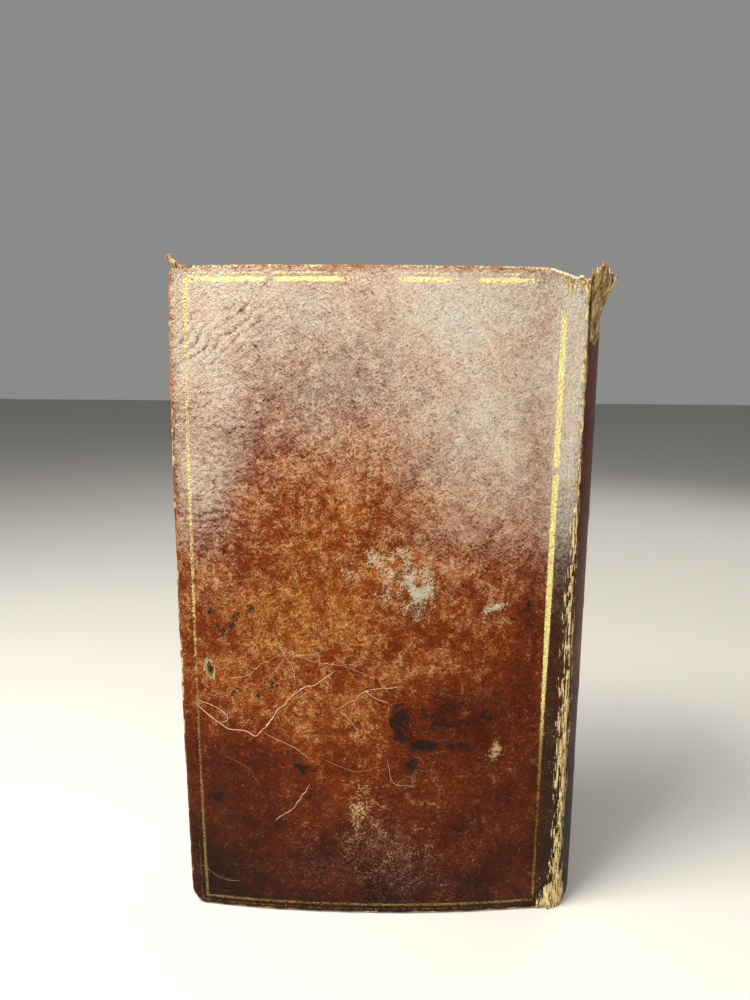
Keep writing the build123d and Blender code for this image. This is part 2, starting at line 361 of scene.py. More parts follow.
@dataclass(frozen=True)
class Book:
    """Sizes of the bound book, mm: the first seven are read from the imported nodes' boxes.

    The rest are the thicknesses of its layers, the square by which the boards stand past the
    leaves, the rounding of the sewn back, the sewing cords, and the tip of the torn leather.
    """

    fore: float
    joint: float
    crown: float
    height: float
    half: float
    bow: float
    board_end: float
    skin: float = 0.7
    board: float = 2.3
    turn_in: float = 0.35
    pastedown: float = 0.25
    leaf: float = 0.2
    spine_leather: float = 0.9
    square: float = 2.5
    fold_radius: float = 33.17
    back_round: float = 4.0
    cords: int = 5
    cord_margin: float = 11.0
    torn_tip: float = 177.5

    @classmethod
    def from_frame(cls) -> "Book":
        """Reads the cover's and the spine's boxes.

        Returns:
            The book.
        """
        low, high = node_box("back_cover_leather")
        spine_low, spine_high = node_box("spine_leather")
        half = spine_high[1]
        return cls(
            fore=low[0],
            joint=spine_low[0],
            crown=spine_high[0],
            height=high[2],
            half=half,
            bow=-low[1] - half,
            board_end=high[0],
        )

    @property
    def length(self) -> float:
        """Board's length across, from fore edge to spine edge."""
        return self.board_end - self.fore

    @property
    def spine_radius(self) -> float:
        """Radius of the arc through both joints and the crown."""
        rise = self.crown - self.joint
        return (self.half**2 + rise**2) / (2 * rise)

    @property
    def spine_centre(self) -> float:
        """Where that arc's centre lies along x."""
        return self.crown - self.spine_radius

    @property
    def spine_arc(self) -> float:
        """Length of the spine's leather from joint to joint."""
        return 2 * self.spine_radius * math.asin(self.half / self.spine_radius)

    @property
    def back_centre(self) -> float:
        """Centre of the arc on which the sections' folds lie."""
        radius = (self.half**2 + self.back_round**2) / (2 * self.back_round)
        return self.joint + self.back_round - radius

    @property
    def cord_heights(self) -> np.ndarray:
        """Heights of the sewing cords, evenly spaced between the kettle stitches."""
        low = self.square + self.cord_margin
        return low + (self.height - 2 * low) * np.arange(1, self.cords + 1) / (self.cords + 1)

    def board_y(self, depth: np.ndarray, across: np.ndarray) -> np.ndarray:
        """Distance from the middle plane of the level that lies depth under a board's face.

        The levels are arcs about one centre, which is far behind the board.

        Args:
            depth: how far under the leather's face, mm; negative stands proud.
            across: distance from the fore edge, mm.

        Returns:
            The distance, mm.
        """
        chord = self.length / 2
        radius = (chord**2 + self.bow**2) / (2 * self.bow)
        centre = self.half + self.bow - radius
        return centre + np.sqrt((radius - depth) ** 2 - (across - chord) ** 2)

    def on_board(
        self, side: Side, across: np.ndarray, up: np.ndarray, depth: np.ndarray
    ) -> np.ndarray:
        """Points of a board from their place on it and their depth under its face.

        Args:
            side: which board.
            across: distance from the fore edge, mm.
            up: height, mm.
            depth: how far under the leather's face, mm.

        Returns:
            The points, with three coordinates last.
        """
        across, up, depth = np.broadcast_arrays(across, up, depth)
        y = side.value * self.board_y(depth, across)
        return np.stack([self.fore + across, y, up], axis=-1)

    def on_spine(
        self, side: Side, along: np.ndarray, up: np.ndarray, depth: np.ndarray
    ) -> np.ndarray:
        """Points of the rounded spine, from the arc's length past one joint and the depth.

        The point is the spine's centre plus the radius, less the depth, along the angle.

        Args:
            side: which joint the arc is measured from.
            along: arc length from that joint, mm.
            up: height, mm.
            depth: how far under the leather's face, mm.

        Returns:
            The points, with three coordinates last.
        """
        along, up, depth = np.broadcast_arrays(along, up, depth)
        angle = (self.spine_arc / 2 - along) / self.spine_radius
        radius = self.spine_radius - depth
        x = self.spine_centre + radius * np.cos(angle)
        return np.stack([x, side.value * radius * np.sin(angle), up], axis=-1)


# ------------------------------------------------------------------- marks of wear on calf


@dataclass(frozen=True)
class Wear:
    """Everything that two centuries have done to one cover, as places on it in mm.

    Spots are (across, up, half width, half height, strength, turn in degrees), scratches are
    (strength, corner points), and joint_width is (height, half the width worn to fibre). Under
    the swollen spots the fibre has puffed up beside the joint. The painted_sheen spots are not
    wear: they are a pale sheen laid into the calf's colour, partly painted highlight and partly
    a pale dry film on the leather.
    the swollen spots the fibre has puffed up beside the joint.
    """

    seed: int
    burnish: tuple[tuple[float, ...], ...]
    rubs: tuple[tuple[float, ...], ...]
    stains: tuple[tuple[float, ...], ...]
    scratches: tuple[tuple, ...]
    holes: tuple[tuple[float, ...], ...]
    creases: tuple[tuple[float, ...], ...]
    lost_gold: tuple[tuple[float, ...], ...]
    painted_sheen: tuple[tuple[float, ...], ...]
    frayed: tuple[tuple[float, ...], ...]
    swollen: tuple[tuple[float, ...], ...]
    crushed_head: float
    joint_width: tuple[tuple[float, float], ...]


BACK_WEAR = Wear(
    seed=11,
    burnish=(
        (24, 80, 20, 22, 0.22, 0), (42, 56, 18, 14, 0.26, 0), (34, 118, 22, 20, 0.12, 0),
        (72, 112, 22, 30, 0.16, 0), (88, 131, 7, 3, 0.35, 20), (4, 10, 12, 16, -0.2, 0),
        (50, 1, 60, 5, -0.15, 0), (76, 61, 18, 10, -0.34, 0), (93, 78, 6, 24, -0.3, 0),
        (46, 34, 14, 10, 0.2, 0), (70, 30, 16, 14, 0.1, 0),
    ),
    rubs=(
        (62, 93, 5.5, 7.0, 1.1, 25), (57, 103, 7.5, 3.4, 0.75, 0), (55, 98, 10.0, 8.0, 0.4, 0),
        (45, 130, 3.0, 5.0, 0.42, 0), (51, 126, 2.6, 7.0, 0.36, 0), (44, 119, 3.0, 3.5, 0.4, 0),
        (83, 120, 1.6, 1.0, 0.8, 0), (83.5, 88.9, 4.2, 1.3, 1.1, 18),
        (85.3, 49, 4.6, 1.8, 0.8, 62), (86.5, 53, 5.0, 0.7, 0.6, 62),
        (49, 34, 5.0, 7.0, 0.62, -12), (50, 18, 9.0, 9.0, 0.4, 0), (66, 16, 8.0, 12.0, 0.3, 0),
        (64, 41, 4.5, 1.8, 0.8, 38), (45, 99, 3.5, 3.5, 0.35, 0), (30, 72, 7.0, 5.0, 0.28, 0),
        (88, 130, 6.0, 2.0, 0.4, 20),
    ),
    stains=(
        (59.5, 58, 3.0, 5.0, 1.15, 0), (64.5, 51, 3.4, 2.4, 1.05, -20),
        (73, 50.5, 7.5, 1.3, 1.0, -3), (75, 57, 9.0, 1.4, 0.7, 14), (34.5, 43, 3.4, 2.0, 0.8, 15),
        (39, 36, 2.0, 2.0, 0.7, 0), (9.5, 34, 3.0, 2.4, 0.75, 0), (36, 82, 3.0, 2.0, 0.55, 0),
        (13, 86, 10.0, 5.0, 0.42, 0), (92, 84, 5.0, 8.0, 0.45, 0), (21, 152, 8.0, 5.0, 0.22, 30),
        (61, 45, 2.4, 2.4, 0.9, 0), (66, 59, 6.0, 3.0, 0.55, 0), (84, 62, 3.0, 5.0, 0.5, 0),
        (30, 47, 3.0, 2.2, 0.5, 0), (20, 66, 12.0, 7.0, 0.3, 0),
    ),
    scratches=(
        (1.0, ((4.5, 60.4), (8, 57.4), (12.8, 54.2), (17.6, 53.8), (20.9, 52.8), (26.1, 59.2))),
        (1.0, ((20.9, 52.8), (26.1, 59.2), (32.9, 66.2), (36.9, 68), (41.5, 71.2))),
        (0.7, ((5, 61.8), (9.4, 60.2), (12.4, 58.2), (12.9, 56.4), (11.6, 56.0))),
        (0.5, ((13.8, 68.5), (17.4, 69.4), (20.1, 70.8), (21.9, 72.8))),
        (0.6, ((43.5, 61.5), (47.2, 63.8), (50.2, 66.2), (58.5, 67.5))),
        (0.6, ((50.2, 66.2), (52.6, 64.4), (56, 63.0))),
        (0.5, ((43.5, 60.2), (45.6, 58.4), (48, 55.2))),
        (0.6, ((25.6, 28), (31, 32.6), (34.9, 38.8))),
        (0.5, ((23.5, 53.0), (30.7, 49.8), (34.4, 47))),
        (0.3, ((27.6, 98.2), (24.2, 93), (21.6, 87.2))),
        (0.25, ((34, 100), (31, 95.6), (29, 91))),
        (0.3, ((70.1, 113.8), (75, 107), (79.6, 99.2))),
        (0.25, ((66, 118), (69.4, 113.2), (72, 108))),
        (0.4, ((31, 66.4), (31.2, 71.5), (28, 77))),
        (0.4, ((28, 77), (36, 74.4), (44, 73.2), (50, 71.0))),
        (0.35, ((20, 76), (25, 78.4), (31, 77))),
        (0.4, ((56, 46.5), (57.6, 40.2), (63, 38.8))),
        (0.35, ((40, 46), (47, 43.2), (52, 44.2))),
        (0.3, ((82, 92), (87, 85))),
        (0.35, ((4, 12), (9, 8.6), (14, 8.2))),
        (0.3, ((35, 79), (38, 75), (37, 71))),
        (0.35, ((24, 74), (29, 76.5), (35, 76), (41, 78))),
        (0.3, ((41, 74), (46, 76), (52, 75))),
        (0.3, ((48, 60), (49, 57), (52, 53))),
        (0.3, ((36, 84), (42, 80), (50, 79))),
        (0.25, ((12, 46), (18, 43), (21, 38))),
    ),
    holes=((8.3, 71, 1.6, 3.6, 1.0, 12),),
    creases=((13, 162, 13, 9, 1.0, 37), (13, 140, 12, 12, 0.5, 5), (12, 112, 12, 14, 0.5, -4)),
    lost_gold=(
        (26, 171.5, 1.4, 3, 0.9, 0), (52, 171.5, 7, 3, 1.0, 0), (74, 171.5, 4.5, 3, 0.9, 0),
        (95, 171.5, 7, 4, 0.8, 0), (98.3, 169, 3, 7, 0.75, 0), (98.2, 125, 3, 1.0, 1.2, 0),
        (3.8, 150, 3, 18, 0.3, 0), (3.8, 60, 3, 60, 0.45, 0), (97.8, 22, 3, 26, 0.5, 0),
        (50, 2.9, 60, 3, 0.4, 0),
    ),
    # painted sheen: where a pale sheen is painted, at the head and down the dark band
    painted_sheen=(
        (78, 160, 34, 36, 0.72, 0), (8, 160, 16, 28, 0.66, 0), (36, 178, 40, 20, 0.55, 0),
        (30, 146, 20, 22, 0.3, 0), (84, 122, 24, 26, 0.34, 0), (7, 120, 12, 24, 0.5, 0),
        (101.5, 150, 5, 42, 0.7, 0), (57, 20, 14, 15, 0.13, 0),
    ),
    frayed=(
        (101.5, 172.0, 4.6, 3.0, 1.5, -25), (91, 174.8, 7, 1.3, 1.0, 0),
        (52, 176.0, 62, 1.8, 1.0, 0), (1.0, 174.0, 3.0, 3.0, 0.9, 0),
        (102.6, 2.6, 5.6, 6.4, 1.7, 0), (24, -0.6, 6, 1.4, 0.8, 0), (0, 68, 0.8, 9, 0.9, 0),
        (0, 36, 0.7, 3, 0.9, 0), (0.5, 1.5, 3, 3, 0.6, 0),
    ),
    swollen=((105.5, 4.0, 5.0, 11.0, 1.0, 0), (105.5, 50.0, 4.0, 12.0, 0.4, 0)),
    crushed_head=2.5,
    joint_width=(
        (0, 4.4), (8, 3.8), (20, 2.8), (35, 3.2), (48, 4.2), (54, 3.6), (75, 3.2), (92, 2.6),
        (108, 1.7), (120, 1.1), (175, 0.9),
    ),
)

FRONT_WEAR = Wear(
    seed=57,
    burnish=(
        (60, 100, 26, 34, 0.3, 15), (22, 40, 18, 20, 0.25, 0), (90, 20, 16, 22, -0.5, 0),
        (8, 160, 16, 14, -0.4, 0), (50, 4, 50, 8, -0.5, 0), (92, 120, 9, 30, -0.35, 0),
    ),
    rubs=(
        (40, 118, 5.0, 3.0, 0.8, 30), (68, 64, 4.0, 6.0, 0.6, 0), (24, 84, 3.0, 2.0, 0.7, 0),
        (80, 140, 5.0, 2.0, 0.5, -20), (52, 24, 7.0, 4.0, 0.6, 10),
    ),
    stains=(
        (30, 62, 6.0, 4.0, 0.7, 20), (74, 96, 4.0, 7.0, 0.5, 0), (60, 150, 5.0, 3.0, 0.5, 0),
        (14, 22, 6.0, 5.0, 0.6, 0),
    ),
    scratches=(
        (0.8, ((18, 128), (24, 122), (30, 118), (37, 119))),
        (1.0, ((58, 84), (64, 80), (70, 78), (84, 80))),
        (0.5, ((44, 46), (49, 42), (52, 36))),
        (0.4, ((24, 100), (23, 96), (20, 92))),
    ),
    holes=((90, 44, 1.4, 2.2, 0.8, -20),),
    creases=((14, 18, 12, 10, 0.7, -35), (84, 156, 14, 10, 0.6, 20)),
    lost_gold=((60, 171.5, 20, 3, 0.8, 0), (3.8, 70, 3, 40, 0.6, 0), (97.8, 60, 3, 40, 0.4, 0)),
    # painted sheen: where a pale sheen is painted
    painted_sheen=((60, 165, 50, 20, 0.4, 0), (20, 110, 20, 30, 0.2, 0)),
    frayed=((0.5, 1.5, 4, 4, 1.0, 0), (0.5, 174, 2.5, 2.5, 0.9, 0), (103.5, 173.5, 3, 2.5, 1.0, 0)),
    swollen=((105.0, 2.0, 4.0, 5.0, 0.5, 0),),
    crushed_head=0.8,
    joint_width=((0, 2.4), (30, 1.2), (90, 1.6), (150, 0.8), (175, 1.6)),
)

WEAR = {Side.BACK: BACK_WEAR, Side.FRONT: FRONT_WEAR}


@dataclass(frozen=True)
class Tooling:
    """The gilt frame worked round a cover: a broad line, with a fine line outside it, mm.

    The line by the joint leans a little, as hand tooling does.
    """

    fore: float = 4.6
    joint: float = 97.5
    lean: float = 0.005
    tail: float = 2.9
    head: float = 171.5
    fine_gap: float = 1.45
    fine: float = 0.15

    def outward(self, across: np.ndarray, up: np.ndarray) -> np.ndarray:
        """Distance outwards from the broad line's middle: the larger of the two straight ones.

        Args:
            across: mm from the fore edge.
            up: mm from the tail.

        Returns:
            The distance, mm; negative inside the frame.
        """
        joint = self.joint + self.lean * up
        a = np.abs(across - (self.fore + joint) / 2) - (joint - self.fore) / 2
        b = np.abs(up - (self.tail + self.head) / 2) - (self.head - self.tail) / 2
        return np.maximum(a, b)

    def half_width(self, across: np.ndarray, up: np.ndarray) -> np.ndarray:
        """Half the broad line's width: widest by the joint, finest at the tail and fore edge.

        Args:
            across: mm from the fore edge.
            up: mm from the tail.

        Returns:
            Half the width, mm.
        """
        joint = smooth_step(85.0, 92.0, across) * smooth_step(0.0, 0.5, self.head - 2 - up)
        joint = joint * smooth_step(50.0, 92.0, up)
        return 0.42 + 0.16 * smooth_step(160.0, 168.0, up) + 0.36 * joint


TOOLING = Tooling()


@dataclass(frozen=True)
class CalfMarks:
    """Reads the wear of one side at any points of its cover, joint or spine."""

    side: Side
    book: Book

    def worn_joint(self, across: np.ndarray, up: np.ndarray) -> np.ndarray:
        """How far the calf is worn to its fibres along the joint, in long streaks.

        A streak shows where long thin noise is higher than the distance from the joint over
        the worn width there.

        Args:
            across: mm from the fore edge.
            up: mm from the tail.

        Returns:
            From 0, sound, to 1, bare fibre.
        """
        wear = WEAR[self.side]
        heights, widths = np.array(wear.joint_width).T
        width = np.interp(up, heights, widths)
        centre = self.book.length + 0.1 - 0.25 * width * smooth_step(60.0, 90.0, up)
        off = np.abs(across - np.minimum(centre, self.book.length))
        core = smooth_step(1.0, 0.0, off / (0.35 * width + 0.2))
        reach = smooth_step(1.0, 0.2, off / (width + 0.4))
        streaks = noise(across, up, 0.5, wear.seed + 1, stretch=20, octaves=3)
        flakes = noise(across, up, 2.2, wear.seed + 2, stretch=2.0, octaves=4)
        level = 0.45 * core + 0.42 * reach + (0.75 * streaks + 0.35 * flakes) * reach
        frayed = spots(across, up, wear.frayed)
        level = level + frayed * (0.75 + 0.8 * flakes)
        solid = 0.3 * smooth_step(0.7, 1.3, frayed)
        strands = 0.3 * smooth_step(0.05, 0.35, reach) + 0.36 * smooth_step(0.15, 0.95, level)
        return np.clip(strands + solid, 0.0, 1.0)

    def read(
        self, across: np.ndarray, up: np.ndarray, edge: np.ndarray | float = 0.0
    ) -> dict[str, np.ndarray]:
        """Values for the calf's finish at each point.

        Args:
            across: mm from the fore edge, past the board's length on the spine.
            up: mm from the tail.
            edge: how much a point stands on a board's rounded edge, from 0 to 1.

        Returns:
            The named values, each from 0 to 1 except distances in mm and the signed tone.
        """
        wear, seed = WEAR[self.side], WEAR[self.side].seed
        mottle = noise(across, up, 9.0, seed + 3, octaves=4)
        tone = spots(across, up, wear.burnish) + 0.22 * mottle
        # darker towards the tail: partly the calf's own darkening, partly painted shade where less
        # light falls
        tone = tone - 0.34 * smooth_step(74.0, 36.0, up) - 0.2 * smooth_step(40.0, 4.0, up)
        # painted shade: darker in the creases
        tone = tone - 0.7 * self.folds(across, up) + 0.5 * edge * smooth_step(100.0, 150.0, up)
        on_spine = smooth_step(self.book.length - 0.5, self.book.length + 0.8, across)
        past = across - TOOLING.joint - TOOLING.lean * up
        band = smooth_step(0.5, 1.1, past) * (1.0 - on_spine)
        broken = noise(across, up, 3.2, seed + 4, octaves=4)
        rub = spots(across, up, wear.rubs) + 0.06 * smooth_step(0.3, 0.8, mottle)
        stain = spots(across, up, wear.stains)
        bend = 0.42 * noise(across, up, 1.9, seed + 12, octaves=4)
        near, signed, force = nearest_line(across + bend, up - bend, wear.scratches)
        flaked = noise(across, up, 2.4, seed + 5, octaves=4)
        flakes = smooth_step(0.4, 0.8, edge * (0.55 + 0.9 * flaked))
        hole = spots(across, up, wear.holes)
        raw = np.maximum(self.worn_joint(across, up), flakes)
        raw = np.maximum(raw, 0.9 * smooth_step(0.35, 0.55, hole))
        gilt = 1.0 - spots(across, up, wear.lost_gold)
        tarnish = smooth_step(82.0, 40.0, up) + 0.6 * smooth_step(20.0, 4.0, across)
        torn = smooth_step(93.0, 96.0, across) * smooth_step(0.0, 1.0, wear.crushed_head - 1)
        torn = torn * smooth_step(174.1, 174.5, up + 0.4 * broken) * (1.0 - on_spine)
        torn = torn * smooth_step(103.0, 100.5, across + broken)
        outward = TOOLING.outward(across, up)
        # painted sheen, partly a pale dry film, kept out of the creases
        painted_sheen = spots(across, up, wear.painted_sheen) - self.folds(across, up)
        return {
            "tone": np.clip(tone - 0.3 * on_spine, -1.0, 1.0),
            "band": band,
            "rub": np.clip(rub * (0.62 + 0.9 * broken), 0.0, 1.0),
            "stain": np.clip(stain * (0.75 + 0.9 * broken), 0.0, 1.0),
            "scratch": signed,
            "scratched": smooth_step(0.9, 0.6, near) * force,
            "painted_sheen": np.clip(painted_sheen * (1.0 - on_spine) * (1.0 - 0.8 * edge), 0.0, 1.0),
            "raw": np.clip(raw, 0.0, 1.0),
            "hole": np.clip(hole, 0.0, 1.0),
            "board": torn,
            "fine": np.abs(outward - TOOLING.fine_gap) + 5.0 * smooth_step(90.0, 93.0, across),
            "broad": np.abs(outward) - TOOLING.half_width(across, up) + 30.0 * on_spine,
            "gilt": np.clip(gilt, 0.0, 1.0),
            "tarnish": np.clip(tarnish, 0.0, 1.0),
        }

    def folds(self, across: np.ndarray, up: np.ndarray) -> np.ndarray:
        """How deep a point lies in a crease: folded sine waves, bent by noise, in soft patches.

        Args:
            across: mm from the fore edge.
            up: mm from the tail.

        Returns:
            From 0, level, to 1, the bottom of the deepest crease.
        """
        warp = noise(across, up, 7.0, WEAR[self.side].seed + 8, octaves=4)
        total = np.zeros(across.shape)
        for a, b, wide, high, strength, turn in WEAR[self.side].creases:
            slope = math.radians(turn)
            beside = (up - b) * math.cos(slope) - (across - a) * math.sin(slope)
            fold = 1.0 - np.abs(np.sin(math.pi * (beside + 3.2 * warp) / 2.1))
            patch = spots(across, up, ((a, b, wide, high, strength, turn),))
            total += patch * fold**2.5 * (0.6 + 0.8 * warp)
        return np.clip(total, 0.0, 1.0)

    def relief(self, across: np.ndarray, up: np.ndarray) -> np.ndarray:
        """How far the calf stands above its even level, mm.

        Slow waves, small lumps, creases as folded sine waves, grooves under the tooling and
        the scratches as bell curves, a rough surface where fibre is bare, and soft swellings
        beside the joint are added up. The swellings sink to nothing on the joint's own line,
        which leaves the cover room to open.

        Args:
            across: mm from the fore edge.
            up: mm from the tail.

        Returns:
            The height, mm.
        """
        wear, seed = WEAR[self.side], WEAR[self.side].seed
        height = 0.10 * noise(across, up, 26.0, seed + 6, octaves=2)
        height += 0.035 * noise(across, up, 3.4, seed + 7, octaves=3)
        height -= 0.42 * self.folds(across, up)
        outward = TOOLING.outward(across, up)
        height -= 0.06 * np.exp(-((outward / TOOLING.half_width(across, up)) ** 4))
        height -= 0.05 * np.exp(-(((outward - TOOLING.fine_gap) / 0.3) ** 2))
        bend = 0.42 * noise(across, up, 1.9, seed + 12, octaves=4)
        near, _, force = nearest_line(across + bend, up - bend, wear.scratches)
        height -= 0.07 * force * np.exp(-((near / 0.4) ** 2))
        height -= 0.3 * smooth_step(0.3, 0.7, spots(across, up, wear.holes))
        fibre = noise(across, up, 0.8, seed + 9, stretch=5, octaves=2)
        height += self.worn_joint(across, up) * (0.10 + 0.2 * fibre)
        away = across - self.book.length
        swell = (0.8 - 0.4 * smooth_step(0.0, 2.0, away)) * smooth_step(0.1, 2.4, np.abs(away))
        height += swell * spots(across, up, wear.swollen) * (1.0 + 0.5 * fibre)
        return height


# ----------------------------------------------------------------------------- finishes


Socket = bpy.types.NodeSocket
Amount = Socket | float


def linear(colour: str) -> tuple[float, float, float, float]:
    """Turns an sRGB hex colour to the linear one that shaders use.

    Args:
        colour: # and six hex digits.

    Returns:
        Red, green, blue and an alpha of 1.
    """
    parts = [int(colour[i : i + 2], 16) / 255 for i in (1, 3, 5)]
    lit = [p / 12.92 if p <= 0.04045 else ((p + 0.055) / 1.055) ** 2.4 for p in parts]
    return (*lit, 1.0)


def add_node(
    tree: bpy.types.NodeTree, kind: str, inputs: dict | None = None, **settings
) -> bpy.types.Node:
    """Adds one shader node.

    Args:
        tree: the material's tree.
        kind: Blender's name for the node.
        inputs: socket name or number to a value, a hex colour or another node's output.
        settings: properties of the node.

    Returns:
        The node.
    """
    node = tree.nodes.new(kind)
    for name, value in settings.items():
        setattr(node, name, value)
    for name, value in (inputs or {}).items():
        socket = node.inputs[name]
        if isinstance(value, bpy.types.NodeSocket):
            tree.links.new(value, socket)
        else:
            socket.default_value = linear(value) if isinstance(value, str) else value
    return node


@dataclass(frozen=True)
class Kind:
    """A kind of node: Blender's name, its inputs in order, its output and its settings."""

    node: str
    inputs: tuple[int | str, ...]
    output: int | str
    settings: dict[str, str]


# a value kept on a piece's points; distance within cells; a smooth step from 0 to 1 between two
# numbers; one colour or number laid over another by an amount; light bent as by a relief
MARK = Kind("ShaderNodeAttribute", (), "Fac", {})
CELLS = Kind("ShaderNodeTexVoronoi", ("Vector", "Scale"), "Distance", {})
SMOOTH = {"interpolation_type": "SMOOTHSTEP"}
STEP = Kind("ShaderNodeMapRange", ("Value", "From Min", "From Max"), "Result", SMOOTH)
MIX = Kind("ShaderNodeMix", (0, 6, 7), 2, {"data_type": "RGBA"})
BLEND = Kind("ShaderNodeMix", (0, 2, 3), 0, {"data_type": "FLOAT"})
BUMP = Kind("ShaderNodeBump", ("Height", "Distance", "Normal"), "Normal", {})
ADD, LESS, TIMES, OVER, TIMES_ADD, LARGER, SMALLER, UNSIGNED, FRACTION, SINE = (
    Kind("ShaderNodeMath", (0, 1, 2), 0, {"operation": operation})
    for operation in (
        "ADD", "SUBTRACT", "MULTIPLY", "DIVIDE", "MULTIPLY_ADD",
        "MAXIMUM", "MINIMUM", "ABSOLUTE", "FRACT", "SINE",
    )
)


class Recipe:
    """A material being made: its tree, its points in mm, and the marks kept on them."""

    def __init__(self, name: str, marks: tuple[str, ...] = ()) -> None:
        """Starts an empty material.

        Args:
            name: the material's name.
            marks: names of the values on the piece's points that it reads.
        """
        self.material = bpy.data.materials.new(name)
        self.material.use_nodes = True
        self.tree = self.material.node_tree
        self.tree.nodes.clear()
        place = add_node(self.tree, "ShaderNodeTexCoord").outputs["Object"]
        scale = add_node(self.tree, "ShaderNodeMapping", {"Vector": place, "Scale": (1000,) * 3})
        self.place = scale.outputs["Vector"]
        self.mark = {mark: self.add(MARK, attribute_name=mark) for mark in marks}

    def add(self, kind: Kind, *values: Amount | str, **settings: str | bool) -> Socket:
        """Adds one node to the recipe.

        Args:
            kind: the kind of node.
            values: what goes into its inputs, in order.
            settings: its properties, besides those of its kind.

        Returns:
            The node's output.
        """
        inputs = dict(zip(kind.inputs, values))
        node = add_node(self.tree, kind.node, inputs, **kind.settings, **settings)
        return node.outputs[kind.output]

    def mottle(
        self,
        size: float,
        detail: float = 3.0,
        rough: float = 0.55,
        stretch: tuple[float, float, float] = (1.0, 1.0, 1.0),
        turn: float = 0.0,
    ) -> Socket:
        """Noise whose largest spots are about size mm, longer where stretch is over 1.

        Args:
            size: width of the largest spots, mm.
            detail: how many finer layers it has.
            rough: how strong the finer layers are.
            stretch: how many times longer the spots are along each axis.
            turn: degrees by which the stretched axes lean in the plane of a board.

        Returns:
            The noise, about a half on average.
        """
        inputs = {"Vector": self.place, "Scale": tuple(size * s for s in stretch)}
        inputs["Rotation"] = (0.0, math.radians(turn), 0.0)
        place = add_node(self.tree, "ShaderNodeMapping", inputs, vector_type="TEXTURE")
        inputs = {"Vector": place.outputs["Vector"], "Scale": 1.0, "Detail": detail}
        inputs["Roughness"] = rough
        return add_node(self.tree, "ShaderNodeTexNoise", inputs).outputs["Fac"]

    def swing(self, value: Amount, *layers: tuple[Socket, float]) -> Socket:
        """A value plus gain times (noise less a half), for each noise and gain.

        Args:
            value: what the noise is added to.
            layers: pairs of a noise and its gain.

        Returns:
            The sum.
        """
        for layer, gain in layers:
            value = self.add(ADD, value, self.add(TIMES_ADD, layer, gain, -gain / 2))
        return value

    def line(self, value: Amount, half: float) -> Socket:
        """1 where a noise crosses its middle, as thin winding lines, and 0 elsewhere."""
        off = self.add(UNSIGNED, self.add(LESS, value, 0.5))
        return self.add(STEP, off, half, half * 0.35)

    def finish(self, **sockets: Amount | str) -> bpy.types.Material:
        """Ends the material in one Principled shader.

        Args:
            sockets: what goes into its sockets, whose names are written with _ for a space.

        Returns:
            The material.
        """
        inputs = {name.replace("_", " "): value for name, value in sockets.items()}
        shader = add_node(self.tree, "ShaderNodeBsdfPrincipled", inputs)
        add_node(self.tree, "ShaderNodeOutputMaterial", {"Surface": shader.outputs[0]})
        return self.material


